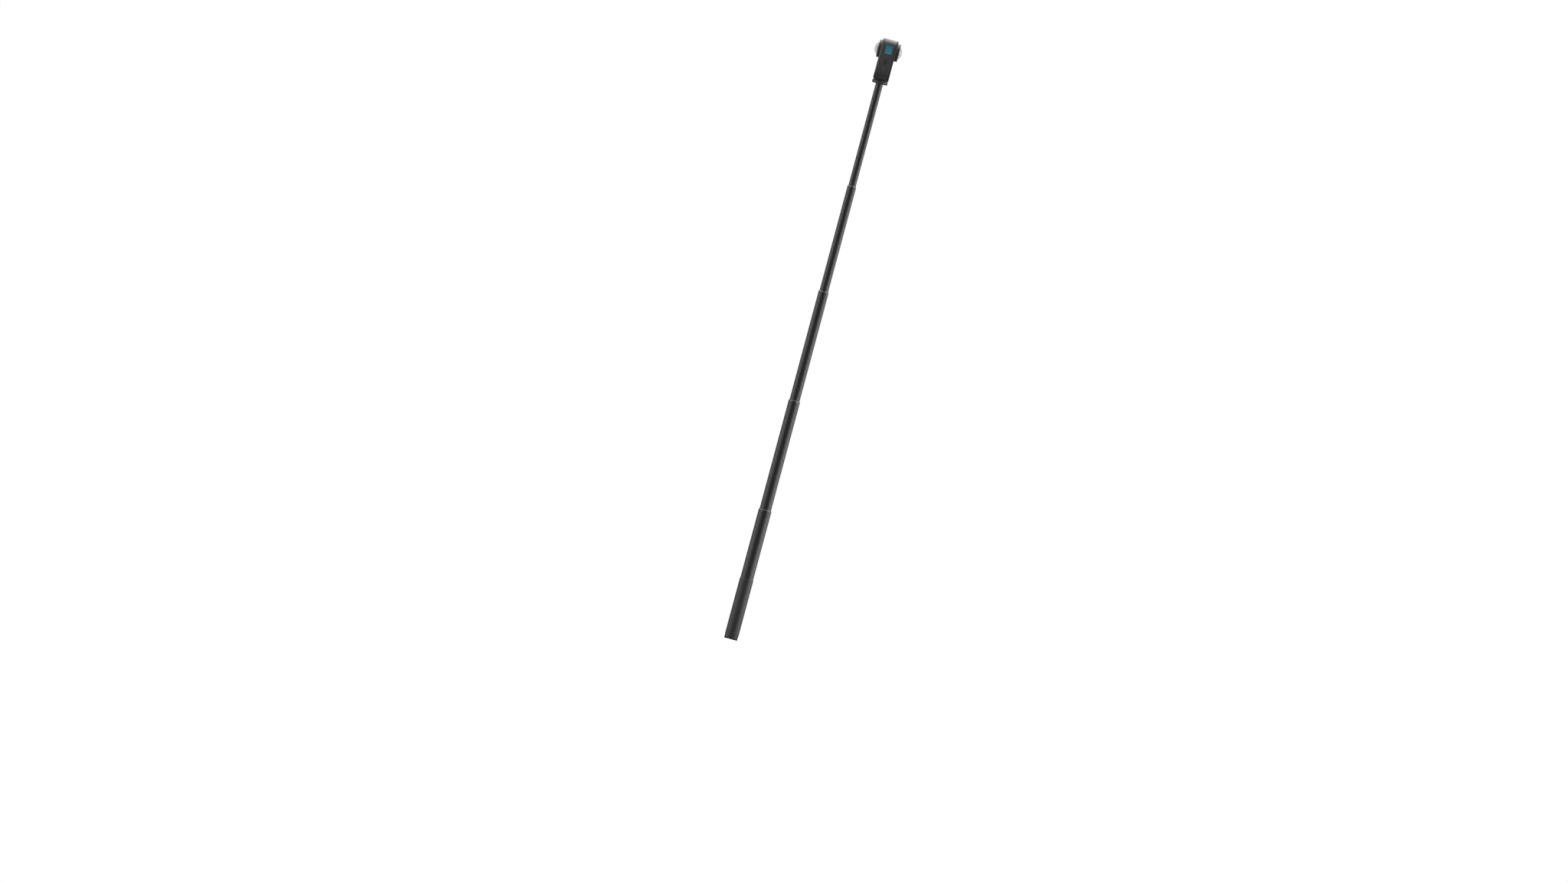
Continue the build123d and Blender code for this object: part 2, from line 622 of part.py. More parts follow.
for side_name, side, guard_h in (("front", -1, front_guard_h), ("rear", 1, rear_guard_h)):
    with BuildPart() as lens_guard:
        with BuildSketch(Plane.XZ):
            with BuildLine():
                Polyline(
                    (side * face_x, lens_z + dome_flange_r + seat_gap),
                    (side * face_x, lens_z + guard_r),
                    (side * (face_x + guard_h), lens_z + guard_r),
                    (side * (face_x + guard_h), lens_z + dome_skirt_r + seat_gap + guard_bevel),
                    (side * (face_x + guard_h - guard_bevel), lens_z + dome_skirt_r + seat_gap),
                    (side * (face_x + dome_flange_h + seat_gap), lens_z + dome_skirt_r + seat_gap),
                    (side * (face_x + dome_flange_h + seat_gap), lens_z + dome_flange_r + seat_gap),
                    close=True,
                )
            make_face()
        revolve(axis=lens_axis)
        widest_rims = lens_guard.edges().filter_by(GeomType.CIRCLE).group_by(SortBy.RADIUS)[-1]
        fillet(widest_rims.sort_by_distance((0, 0, lens_z))[-1], guard_edge)
    lens_guard.part.label = f"{side_name}_lens_guard"
    export_step(lens_guard.part, f"parts/{side_name}_lens_guard.step")

    with BuildPart() as lens_dome:
        with BuildSketch(Plane.XZ):
            with BuildLine():
                ThreePointArc((side * dome_reach, lens_z),
                              on_arc(dome_centre, dome_r, dome_half_angle, side),
                              (side * skirt_x, lens_z + dome_skirt_r))
                Polyline(
                    (side * skirt_x, lens_z + dome_skirt_r),
                    (side * (face_x + dome_flange_h), lens_z + dome_skirt_r),
                    (side * (face_x + dome_flange_h), lens_z + dome_flange_r),
                    (side * face_x, lens_z + dome_flange_r),
                    (side * face_x, lens_z + dome_bore_r),
                    (side * bore_x, lens_z + dome_bore_r),
                )
                ThreePointArc((side * bore_x, lens_z + dome_bore_r),
                              on_arc(dome_centre, inner_dome_r, dome_half_angle, side),
                              (side * (dome_reach - dome_wall), lens_z))
                Line((side * (dome_reach - dome_wall), lens_z), (side * dome_reach, lens_z))
            make_face()
        revolve(axis=lens_axis)
    lens_dome.part.label = f"{side_name}_lens_dome"
    export_step(lens_dome.part, f"parts/{side_name}_lens_dome.step")

    with BuildPart() as lens_barrel:
        with BuildSketch(Plane.XZ):
            with BuildLine():
                Polyline(
                    (side * sensor_x, lens_z),
                    (side * sensor_x, lens_z + barrel_r),
                    (side * neck_x, lens_z + barrel_r),
                    (side * neck_x, lens_z + barrel_neck_r),
                    (side * (element_x + bezel_h), lens_z + barrel_neck_r),
                    (side * (element_x + bezel_h), lens_z + element_r + bezel_h),
                    (side * element_x, lens_z + element_r + seat_gap),
                    (side * element_x, lens_z),
                    close=True,
                )
            make_face()
        revolve(axis=lens_axis)
    lens_barrel.part.label = f"{side_name}_lens_barrel"
    export_step(lens_barrel.part, f"parts/{side_name}_lens_barrel.step")

    with BuildPart() as lens_element:
        with BuildSketch(Plane.XZ):
            with BuildLine():
                ThreePointArc((side * (element_x + element_h), lens_z),
                              on_arc(element_centre, element_sphere_r, element_half_angle, side),
                              (side * element_x, lens_z + element_r))
                Polyline((side * element_x, lens_z + element_r), (side * element_x, lens_z),
                         (side * (element_x + element_h), lens_z))
            make_face()
        revolve(axis=lens_axis)
    lens_element.part.label = f"{side_name}_lens_element"
    export_step(lens_element.part, f"parts/{side_name}_lens_element.step")

    with BuildPart() as sensor_board:
        with BuildSketch(Plane.YZ.offset(side * bracket_t / 2)):
            with Locations((0, lens_z)):
                Rectangle(sensor_side, sensor_side)
        extrude(amount=side * sensor_t)
    sensor_board.part.label = f"{side_name}_sensor_board"
    export_step(sensor_board.part, f"parts/{side_name}_sensor_board.step")

# Bracket between the lens units, notched at the top for the shutter switch
cavity_roof_z = camera_z + camera_h - end_wall
shutter_lip_r = shutter_r + button_lip
shutter_room = free_gap + button_lip_t + button_travel + 2 * switch_body
with BuildPart() as lens_bracket:
    with BuildSketch(Plane.YZ.offset(-bracket_t / 2)):
        with Locations((0, camera_mid_z)):
            RectangleRounded(cavity_w, cavity_h, cavity_corner)
        with Locations((0, (bay_roof_z + cavity_roof_z) / 2)):
            Rectangle(cavity_w, cavity_roof_z - bay_roof_z, mode=Mode.INTERSECT)
        with Locations((0, cavity_roof_z - shutter_room / 2)):
            Rectangle(2 * (shutter_lip_r + free_gap), shutter_room, mode=Mode.SUBTRACT)
    extrude(amount=bracket_t)
lens_bracket.part.label = "lens_bracket"
export_step(lens_bracket.part, "parts/lens_bracket.step")

# Buttons, each with an inner lip that keeps it in
shutter_lip_top = cavity_roof_z - free_gap / 2
with BuildPart() as shutter_button:
    with BuildSketch(Plane.XY.offset(shutter_lip_top - button_lip_t)):
        Circle(shutter_lip_r)
    extrude(amount=button_lip_t)
    with BuildSketch(Plane.XY.offset(shutter_lip_top)):
        Circle(shutter_r)
    extrude(amount=camera_z + camera_h + button_proud - shutter_lip_top)
    chamfer(shutter_button.faces().sort_by(Axis.Z)[-1].edges(), button_proud)
shutter_button.part.label = "shutter_button"
export_step(shutter_button.part, "parts/shutter_button.step")

mode_lip_y = cavity_y - free_gap / 2
with BuildPart() as mode_button:
    with BuildSketch(Plane.XZ.offset(mode_lip_y - button_lip_t)):
        with Locations((0, mode_z)):
            SlotOverall(mode_h + 2 * button_lip, mode_w + 2 * button_lip, rotation=90)
    extrude(amount=button_lip_t)
    with BuildSketch(Plane.XZ.offset(mode_lip_y)):
        with Locations((0, mode_z)):
            SlotOverall(mode_h, mode_w, rotation=90)
    extrude(amount=camera_w / 2 + button_proud - mode_lip_y)
    chamfer(mode_button.faces().sort_by(Axis.Y)[0].edges(), button_proud)
mode_button.part.label = "mode_button"
export_step(mode_button.part, "parts/mode_button.step")

# Switches behind the buttons, seated on the bracket and in the cage
shutter_switch_z = cavity_roof_z - shutter_room
shutter_tip_z = shutter_lip_top - button_lip_t - button_travel - seat_gap
mode_switch_y = cavity_y - cage_depth + cage_wall
mode_tip_y = mode_lip_y - button_lip_t - button_travel - seat_gap
with BuildPart() as button_switches:
    with BuildSketch(Plane.XY.offset(shutter_switch_z)):
        Rectangle(switch_side, switch_side)
    extrude(amount=switch_body)
    with BuildSketch(Plane.XY.offset(shutter_switch_z + switch_body)):
        Circle(switch_side / 4)
    extrude(amount=shutter_tip_z - shutter_switch_z - switch_body)
    with BuildSketch(Plane.XZ.offset(mode_switch_y)):
        with Locations((0, mode_z)):
            Rectangle(switch_side, switch_side)
    extrude(amount=(mode_tip_y - mode_switch_y) / 2)
    with BuildSketch(Plane.XZ.offset((mode_tip_y + mode_switch_y) / 2)):
        with Locations((0, mode_z)):
            Circle(switch_side / 4)
    extrude(amount=(mode_tip_y - mode_switch_y) / 2)
button_switches.part.label = "button_switches"
export_step(button_switches.part, "parts/button_switches.step")

# Battery
with BuildPart() as battery:
    with BuildSketch(Plane.XZ.offset(-battery_y)):
        with Locations((0, bay_mid_z)):
            RectangleRounded(battery_t, battery_h, battery_edge)
    extrude(amount=-battery_l)
battery.part.label = "battery"
export_step(battery.part, "parts/battery.step")

# Battery door, rounded about its hinge, with the latch's pocket and channel
pocket_foot_z = latch_foot_z - free_gap
with BuildPart() as battery_door:
    with BuildSketch(Plane.YZ.offset(-door_w / 2)):
        with BuildLine():
            Line((camera_w / 2, hinge_z), (camera_w / 2, door_head_z))
            Line((camera_w / 2, door_head_z), (door_y, door_head_z))
            Line((door_y, door_head_z), (door_y, hinge_z))
            ThreePointArc((door_y, hinge_z), (hinge_y, hinge_z - door_t / 2),
                          (camera_w / 2, hinge_z))
        make_face()
    extrude(amount=door_w)
    with BuildSketch(Plane.YZ.offset(-door_w / 2)):
        with Locations((hinge_y, hinge_z)):
            Circle(hinge_pin_r + run_fit)
    extrude(amount=door_w, mode=Mode.SUBTRACT)
    with BuildSketch(Plane.XZ.offset(-camera_w / 2)):
        with Locations((0, (pocket_foot_z + slot_top_z) / 2)):
            Rectangle(latch_w + 2 * free_gap, slot_top_z - pocket_foot_z)
    extrude(amount=camera_w / 2 - latch_y + free_gap / 2, mode=Mode.SUBTRACT)
    with BuildSketch(Plane.XZ.offset(-door_y)):
        with Locations((0, (pocket_foot_z + door_head_z) / 2)):
            Rectangle(tongue_w + 2 * free_gap, door_head_z - pocket_foot_z)
    extrude(amount=-(latch_y - door_y + free_gap / 2), mode=Mode.SUBTRACT)
battery_door.part.label = "battery_door"
export_step(battery_door.part, "parts/battery_door.step")

with BuildPart() as door_pin:
    with BuildSketch(Plane.YZ):
        with Locations((hinge_y, hinge_z)):
            Circle(hinge_pin_r)
    extrude(amount=door_w / 2 + free_gap + hinge_pin_bite, both=True)
door_pin.part.label = "door_pin"
export_step(door_pin.part, "parts/door_pin.step")

# Latch: a ribbed thumb plate with a tongue that locks into the frame
with BuildPart() as door_latch:
    with BuildSketch(Plane.XZ.offset(-latch_y)):
        with Locations((0, latch_mid_z)):
            Rectangle(latch_w, latch_h)
    extrude(amount=-latch_t)
    with BuildSketch(Plane.XZ.offset(-tongue_y)):
        with Locations((0, (latch_foot_z + door_head_z - seat_gap) / 2)):
            Rectangle(tongue_w, door_head_z - seat_gap - latch_foot_z)
    extrude(amount=-tongue_t)
    with BuildSketch(Plane.XZ.offset(-latch_y - latch_t)):
        with Locations((0, latch_mid_z)):
            with GridLocations(0, latch_rib_pitch, 1, 3):
                Rectangle(latch_w - 2 * latch_rib_margin, latch_rib)
    extrude(amount=latch_rib, mode=Mode.SUBTRACT)
door_latch.part.label = "door_latch"
export_step(door_latch.part, "parts/door_latch.step")

with BuildPart() as door_seal:
    with BuildSketch(Plane.XZ.offset(-ledge_y)):
        with Locations((0, bay_mid_z)):
            Rectangle(bay_t + 2 * door_seal_band, bay_h + 2 * door_seal_band)
            Rectangle(bay_t, bay_h, mode=Mode.SUBTRACT)
    extrude(amount=-door_seal_t)
door_seal.part.label = "door_seal"
export_step(door_seal.part, "parts/door_seal.step")

# Main board on the bay's front wall, with its chips and screws
board_x = -bay_t / 2 - bay_wall
board_h = bay_roof_z - camera_z - board_foot
board_w = cavity_w - 2 * board_margin
screw_y = (bay_y + board_screw_back, cavity_y - board_screw_front)
screw_z = (bay_foot + board_screw_inset, bay_foot + bay_h - board_screw_inset)
chip_y = ((screw_y[0] - board_w / 2) / 2, (screw_y[0] + screw_y[1]) / 2)
screw_spots = [(y, z) for y in screw_y for z in screw_z]
with BuildPart() as main_board:
    with BuildSketch(Plane.YZ.offset(board_x)):
        with Locations((0, camera_z + board_foot + board_h / 2)):
            Rectangle(board_w, board_h)
    extrude(amount=-board_t)
    with BuildSketch(Plane.YZ.offset(board_x - board_t)):
        with Locations(*[(y, camera_z + board_foot + board_h / 2) for y in chip_y]):
            Rectangle(chip_w, chip_h)
    extrude(amount=-chip_t)
    with BuildSketch(Plane.YZ.offset(board_x)):
        with Locations(*screw_spots):
            Circle(board_screw_r + seat_gap)
    extrude(amount=-board_t, mode=Mode.SUBTRACT)
main_board.part.label = "main_board"
export_step(main_board.part, "parts/main_board.step")

board_face_x = board_x - board_t
with BuildPart() as board_screws:
    with BuildSketch(Plane.YZ.offset(board_face_x)):
        with Locations(*screw_spots):
            Circle(board_screw_head_r)
    extrude(amount=-board_screw_head_h)
    with BuildSketch(Plane.YZ.offset(board_face_x)):
        with Locations(*screw_spots):
            Circle(board_screw_r)
    extrude(amount=board_t)
board_screws.part.label = "board_screws"
export_step(board_screws.part, "parts/board_screws.step")

# Speaker on the inside of the front cover, beside the lens unit
with BuildPart() as speaker:
    with BuildSketch(Plane.YZ.offset(-inner_x)):
        with Locations((speaker_inset - cavity_y, lens_z - speaker_drop)):
            Rectangle(speaker_w, speaker_h)
    extrude(amount=speaker_t)
speaker.part.label = "speaker"
export_step(speaker.part, "parts/speaker.step")

# Brass insert that takes the stud
with BuildPart() as tripod_insert:
    with BuildSketch(Plane.XY.offset(camera_z)):
        Circle(insert_r)
        Circle(thread_r, mode=Mode.SUBTRACT)
    extrude(amount=insert_depth)
tripod_insert.part.label = "tripod_insert"
export_step(tripod_insert.part, "parts/tripod_insert.step")
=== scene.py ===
"""Looks, light and view of a telescoping extension pole with a two-lens camera on its head.

Lengths are metres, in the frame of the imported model: the pole runs up +Z from its base end, and
the camera on its head looks along +X and -X.
"""
import json
from math import pi, radians, sqrt

import bmesh
import bpy
from mathutils import Matrix, Vector


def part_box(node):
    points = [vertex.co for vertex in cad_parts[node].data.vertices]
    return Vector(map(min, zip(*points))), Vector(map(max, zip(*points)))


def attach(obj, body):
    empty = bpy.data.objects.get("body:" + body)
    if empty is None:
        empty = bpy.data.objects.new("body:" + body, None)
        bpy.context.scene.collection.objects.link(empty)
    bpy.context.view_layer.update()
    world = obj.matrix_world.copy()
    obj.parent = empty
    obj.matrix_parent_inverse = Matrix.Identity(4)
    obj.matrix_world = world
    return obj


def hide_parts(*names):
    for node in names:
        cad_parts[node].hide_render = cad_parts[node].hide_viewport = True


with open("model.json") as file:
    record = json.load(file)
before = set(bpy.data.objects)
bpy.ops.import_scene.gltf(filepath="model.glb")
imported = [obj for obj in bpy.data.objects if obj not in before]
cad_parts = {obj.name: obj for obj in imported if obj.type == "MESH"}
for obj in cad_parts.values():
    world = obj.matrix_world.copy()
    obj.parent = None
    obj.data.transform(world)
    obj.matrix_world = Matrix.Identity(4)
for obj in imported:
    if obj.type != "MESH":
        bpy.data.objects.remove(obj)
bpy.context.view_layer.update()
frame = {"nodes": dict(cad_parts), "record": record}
nodes = frame["nodes"]
casing_low, casing_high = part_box("mid_frame")  # corners of the camera's casing

MM = 0.001
SHARP_ANGLE = radians(40)
FLAT_ANGLE = radians(0.5)
MERGE_GAP = 1e-7
AREA_WEIGHT = 100                             # how much large faces rule the normals beside them

# Sockets of a Mix node that is set to colours
MIX_FACTOR = 0
MIX_LOW = 6
MIX_HIGH = 7
MIX_RESULT = 2

# The photograph's view: level, with the pole leaning to the right in the frame
PHOTO_W = 2048
PHOTO_H = 1152
REAL_PER_PIXEL = 1.30 * MM
LEAN = radians(15.005)
PIVOT_PIXEL = Vector((1147.83, 112.54))       # on the pole's axis, under the lock wheel
PIVOT_Z = 0.97234
LENS_LENGTH = 300.0
SENSOR_W = 36.0
VIEW_END = 80.0

# Tubes and their weave, and the rings at their tops
TUBE_NODES = ("base_tube", "tube_2", "tube_3", "tube_4", "tube_5")
RING_NODES = ("guide_ring_1", "guide_ring_2", "guide_ring_3", "guide_ring_4")
TUBE_WALL = 0.8 * MM
TUBE_LIP = 0.15 * MM
TUBE_SIDES = 128
LIP_STEPS = 3
TOW_WIDTH = 2.34 * MM
TWILL_REPEAT = 4                              # tows

# Depth over which rims are rubbed and lit by a painted highlight, and knurls are rubbed
RING_WEAR_AND_HIGHLIGHT = 1.1 * MM
KNURL_WEAR = 0.35 * MM

# Quarter-inch thread of the base insert
THREAD_R = 3.175 * MM
THREAD_PITCH = 1.27 * MM
THREAD_RIDGE = 0.5 * MM
THREAD_STEPS = 40                             # in one turn
RIDGE_SIDES = 4

# Rubber pad on the lock wheel, which swells up to the camera's underside
PAD_GAP = 0.03 * MM
PAD_HOLE_R = 4.0 * MM
PAD_LIP = 0.15 * MM
PAD_SIDES = 96

# Height of the painted shade at the casing's foot, and the height over which it fades out
PAINTED_SHADE_FOOT = 6.0 * MM
PAINTED_SHADE_FADE = 14.0 * MM

# Casing corner, and bars printed on the camera's side
CASING_CORNER = 13.0 * MM
BAR_COUNT = 5
BAR_PITCH = 2.9 * MM
BAR_WIDTH = 11.8 * MM
BAR_HEIGHT = 1.9 * MM
BAR_THICKNESS = 0.10 * MM
BAR_PROUD = 0.03 * MM
BAR_MIDDLE_X = 0.45 * MM
BAR_END_STEPS = 6
BAR_END_SHARE = 0.499                         # of the height, so that the ends' arcs stay apart
BAR_LOW_INK = (0.010, 0.30, 0.47, 1.0)
BAR_HIGH_INK = (0.006, 0.225, 0.30, 1.0)
BAR_FOOT_DROP = 23.9 * MM                     # from the camera's top to the lowest bar

# Sound holes through the covers
HOLE_R = 0.42 * MM
HOLE_PITCH = 1.7 * MM
HOLE_SIDES = 16
SPEAKER_PUNCH = 8.0 * MM
SPEAKER_GRID = (4, 3)                         # holes along Y and along Z
MICROPHONE_PUNCH = 3.0 * MM
MICROPHONE_GRID = (3, 1)
MICROPHONE_Y = -21.0 * MM
MICROPHONE_RISE = 20.0 * MM                   # above the speaker's height

# Fine rings on the lens barrels
BARREL_RING_R = 8.6 * MM
BARREL_RING_BEAD = 0.10 * MM
BARREL_RING_COUNT = 3
BARREL_RING_NARROWING = 0.025                 # share of the radius from one ring to the next
BARREL_RING_SIDES = 72
BEAD_SIDES = 6

# Fineness of noise along X, Y and Z: marks run across the axis along which they are finer
EVEN = (1, 1, 1)
TURNED = (1, 1, 8)
RUBBED = (1, 1, 6)
BRUSHED = (6, 1, 1)
AXIAL_FIBRES = (1, 1, 0.08)
HOOP_FIBRES = (0.2, 0.2, 1)
FLOWED = (1, 1, 0.3)
SMEARED = (1, 0.4, 1)

# In the finishes below, a grain is a count a metre, a tone is a grey level, and a swing is how
# far a value strays in all

# Carbon tows under lacquer
FIBRE_GRAIN = 900
TOW_DARK = 0.008
TOW_PALE = 0.020
TOW_BLUE = 0.04
TOW_SHARE = 0.55                              # of the tow's direction in the tone
FIBRE_SHARE = 0.45                            # of its fibres in the tone
HOOP_ROUGH = 0.46
AXIAL_ROUGH = 0.33
FIBRE_ROUGH = 0.06
CROWN_POWER = 0.5                             # below 1, a tow is flat on top and steep at its edge
FIBRE_RELIEF = 0.15                           # share of a tow's height
TOW_RELIEF = 0.05 * MM

# Moulded plastics
COOL = 0.02                                   # touch of blue
CLOUD_GRAIN = 60
TONE_SWING = 0.14                             # share of the tone, each way
CLOUD_GLOSS_SWING = 0.10
GRAIN_GLOSS_SWING = 0.08

# Metals, and where anodising is rubbed off them, which on the rims is also a painted highlight
MARK_GRAIN = 700
MARK_DEPTH = 0.01 * MM
MARK_TONE = 0.82                              # share of the metal's tone
MARK_GLOSS_SWING = 0.16
ANODISED_BLUE = 0.03
# On the rims the marks make the painted highlight patchy too
WEAR_AND_HIGHLIGHT_LEAST = 0.6                              # the marks make the wear patchy between these shares
WEAR_AND_HIGHLIGHT_MOST = 1.4
WORN_ROUGH = 0.06

# Clear mouldings
FLOW_GRAIN = 90
FLOW_TINT = 0.97                              # share of the tint
FLOW_ROUGH = 0.03

# Touch glass, its finger marks, and the display under it with its black border
FINGER_GRAIN = 55
SMEAR_GRAIN = 160
FINGER_FLOOR = 0.46                           # noise below this leaves the glass clean
FINGER_GAIN = 3
FINGER_ROUGH = 0.5
GLASS_ROUGH = 0.05
BORDER_TONE = 0.001
DISPLAY_TONE = 0.007
DISPLAY_BLUE = 0.25
SCREEN_BORDER = 2.2 * MM

# Circuit boards and the copper tracks on them: pitch, width as a share of it, and wandering
TRACK_PITCH_Y = 1.1 * MM
TRACK_PITCH_Z = 1.7 * MM
TRACK_SHARE_Y = 0.35
TRACK_SHARE_Z = 0.3
TRACK_BEND_Y = 4.0 * MM
TRACK_BEND_Z = 5.0 * MM
TRACK_RELIEF = 0.03 * MM
BEND_GRAIN = 260
PATCH_GRAIN = 130
MASK_ROUGH = 0.42
TRACK_ROUGH = 0.34

# Foam
PORE_GRAIN = 1400
PORE_TONE = 0.8                               # share of the foam's tone
PORE_DEPTH = 0.2 * MM
FOAM_ROUGH = 0.9
PORE_ROUGH = -0.1                             # change across a pore

# Ink
SPECKLE_GRAIN = 2500
SPECKLE_TONE_SWING = 0.12
INK_ROUGH = 0.5
SPECKLE_ROUGH = 0.1

# Glow of the surroundings, and how much darker gloss sees them towards some sides
FILL_LEVEL = 0.45
FILL_GROUND_DIMMING = 0.8
VIEWER_DIMMING = 0.92
GROUND_DIMMING = 0.95
BEHIND_LEFT_DIMMING = 0.8
BEHIND_RIGHT_DIMMING = 0.4
SIDE_SPREAD = 0.5
GROUND_SPREAD = 0.4

# Floor
FLOOR_R = 0.5
FLOOR_SIDES = 96
FLOOR_GLOW = 0.82
FLOOR_GLOSS = 0.1
FLOOR_TONE = 0.8
FLOOR_TONE_IN_GLOSS = 0.1

# Lamps: name, place, target, width, height and radiance
LAMPS = (
    ("top_softbox", (0.0, 0.5, 2.6), (0, 0, 1.0), 2.2, 1.8, 4.0),
    ("right_softbox", (2.2, -0.5, 0.8), (0, -0.4, 0.6), 3.2, 2.6, 2.2),
    ("left_softbox", (-2.2, -0.9, 1.15), (0, -0.8, 0.75), 3.6, 2.6, 1.4),
)


def body_of(node):
    """The body that a CAD node moves with."""
    bodies = frame["record"]["behaviour"]["bodies"]
    return next(body for body, names in bodies.items() if node in names)


def middle_of(node):
    """The middle of a CAD node's box."""
    low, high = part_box(node)
    return (low + high) / 2


class Shade:
    """A socket in a material's tree. Operators on it add Math nodes, so masks read as formulas."""

    def __init__(self, tree, socket=None):
        self.tree = tree
        self.socket = socket

    def node(self, kind, settings=None, sockets=None, out=0):
        """Adds a node, sets it up, fills or links its sockets, and returns one output."""
        made = self.tree.nodes.new("ShaderNode" + kind)
        for name, value in (settings or {}).items():
            setattr(made, name, value)
        for name, value in (sockets or {}).items():
            if isinstance(value, Shade):
                self.tree.links.new(value.socket, made.inputs[name])
            else:
                made.inputs[name].default_value = value
        return Shade(self.tree, made.outputs[out]) if made.outputs else None

    def math(self, operation, *values):
        """Result of a Math node on these values."""
        return self.node("Math", {"operation": operation}, dict(enumerate(values)))

    def __add__(self, other):
        return self.math("ADD", self, other)

    def __radd__(self, other):
        return self.math("ADD", other, self)

    def __sub__(self, other):
        return self.math("SUBTRACT", self, other)

    def __rsub__(self, other):
        return self.math("SUBTRACT", other, self)

    def __mul__(self, other):
        return self.math("MULTIPLY", self, other)

    def __rmul__(self, other):
        return self.math("MULTIPLY", other, self)

    def __truediv__(self, other):
        return self.math("DIVIDE", self, other)

    def __mod__(self, other):
        return self.math("FLOORED_MODULO", self, other)

    def __pow__(self, other):
        return self.math("POWER", self, other)

    def __lt__(self, other):
        return self.math("LESS_THAN", self, other)

    def __gt__(self, other):
        return self.math("GREATER_THAN", self, other)

    def mix(self, low, high):
        """Colour that goes from low to high as this value goes from 0 to 1."""
        sockets = {MIX_FACTOR: self, MIX_LOW: low, MIX_HIGH: high}
        settings = {"data_type": "RGBA", "clamp_factor": True}
        return self.node("Mix", settings, sockets, out=MIX_RESULT)

    def between(self, low, high):
        """Number that goes from low to high as this value goes from 0 to 1."""
        return self * (high - low) + low

    def swing(self, size):
        """Number that strays this far in all, evenly about 0, as this value goes from 0 to 1."""
        return (self - 0.5) * size


def grey(level, blue=0.0):
    """A near-neutral colour with an optional touch of blue."""
    return (level, level, level * (1 + blue), 1.0)


def dimmed(colour, share):
    """A colour with each of its parts cut to a share."""
    return tuple(part * share for part in colour[:3]) + (1.0,)


class Finish:
    """A procedural material: a Principled shader with constant and varying sockets."""

    def __init__(self, name):
        self.material = bpy.data.materials.new(name)
        self.material.use_nodes = True
        tree = self.material.node_tree
        tree.nodes.clear()
        self.start = Shade(tree)
        self.place = self.start.node("TexCoord", out="Object")

    def noise(self, scale, detail=2.0, roughness=0.5, fineness=EVEN):
        """Noise of so many grains a metre, times the fineness along each axis."""
        place = self.place
        if fineness != EVEN:
            place = self.start.node("Mapping", {}, {"Vector": place, "Scale": fineness})
        sockets = {"Vector": place, "Scale": scale, "Detail": detail, "Roughness": roughness}
        return self.start.node("TexNoise", {}, sockets)

    def axes(self):
        """The three coordinates of the shaded point."""
        split = self.start.node("SeparateXYZ", {}, {0: self.place})
        return [Shade(split.tree, split.socket.node.outputs[i]) for i in range(3)]

    def bump(self, height, depth, strength):
        """Normal of a relief with this depth."""
        sockets = {"Height": height, "Distance": depth, "Strength": strength}
        return self.start.node("Bump", {}, sockets)

    def done(self, **sockets):
        """Joins a Principled shader to the output. Underscores in names stand for spaces."""
        named = {name.replace("_", " "): value for name, value in sockets.items()}
        shader = self.start.node("BsdfPrincipled", {}, named)
        self.start.node("OutputMaterial", {}, {"Surface": shader})
        return self.material


def carbon_twill(name, radius):
    """Two-by-two twill of carbon tows round a tube of this radius, under a satin lacquer."""
    finish = Finish(name)
    x, y, z = finish.axes()
    repeats = round(2 * pi * radius / (TWILL_REPEAT * TOW_WIDTH))
    around = x.math("ARCTAN2", y, x) * (repeats * TWILL_REPEAT / (2 * pi))
    along = z / TOW_WIDTH
    column = x.math("FLOOR", around)
    row = x.math("FLOOR", along)
    axial = ((column + row) % TWILL_REPEAT) < (TWILL_REPEAT / 2)
    crown_axial = x.math("PINGPONG", around, 0.5) * 2
    crown_hoop = x.math("PINGPONG", along, 0.5) * 2
    crown = axial * crown_axial + (1 - axial) * crown_hoop
    fibres_axial = finish.noise(FIBRE_GRAIN, detail=3.0, roughness=0.6, fineness=AXIAL_FIBRES)
    fibres_hoop = finish.noise(FIBRE_GRAIN, detail=3.0, roughness=0.6, fineness=HOOP_FIBRES)
    fibres = fibres_axial * axial + fibres_hoop * (1 - axial)
    tone = axial * TOW_SHARE + fibres * FIBRE_SHARE
    height = crown ** CROWN_POWER + fibres * FIBRE_RELIEF
    return finish.done(
        Base_Color=tone.mix(grey(TOW_DARK), grey(TOW_PALE, TOW_BLUE)),
        Roughness=axial.between(HOOP_ROUGH, AXIAL_ROUGH) + fibres * FIBRE_ROUGH,
        Specular_IOR_Level=0.45,
        Coat_Weight=0.25,
        Coat_Roughness=0.22,
        Normal=finish.bump(height, depth=TOW_RELIEF, strength=0.55),
    )


def moulded(name, level, rough, grain=1500, grain_depth=0.012 * MM, specular=0.5, painted_shade_foot_level=None):
    """Moulded plastic: a fine spark-eroded grain and slight changes of tone and gloss.

    On the camera's casing it may darken towards the foot to another level, as painted shade.
    """
    finish = Finish(name)
    clouds = finish.noise(CLOUD_GRAIN, detail=3.0)
    grains = finish.noise(grain, roughness=0.7)
    tone = clouds.mix(grey(level * (1 - TONE_SWING), COOL), grey(level * (1 + TONE_SWING), COOL))
    # Painted shade: the tone darkens towards the casing's foot
    if painted_shade_foot_level:
        height = finish.axes()[2] - casing_low.z
        rise = (height - PAINTED_SHADE_FOOT) / PAINTED_SHADE_FADE
        tone = rise.mix(grey(painted_shade_foot_level, COOL), tone)
    return finish.done(
        Base_Color=tone,
        Roughness=rough + clouds.swing(CLOUD_GLOSS_SWING) + grains.swing(GRAIN_GLOSS_SWING),
        Specular_IOR_Level=specular,
        Normal=finish.bump(grains, depth=grain_depth, strength=0.6),
    )


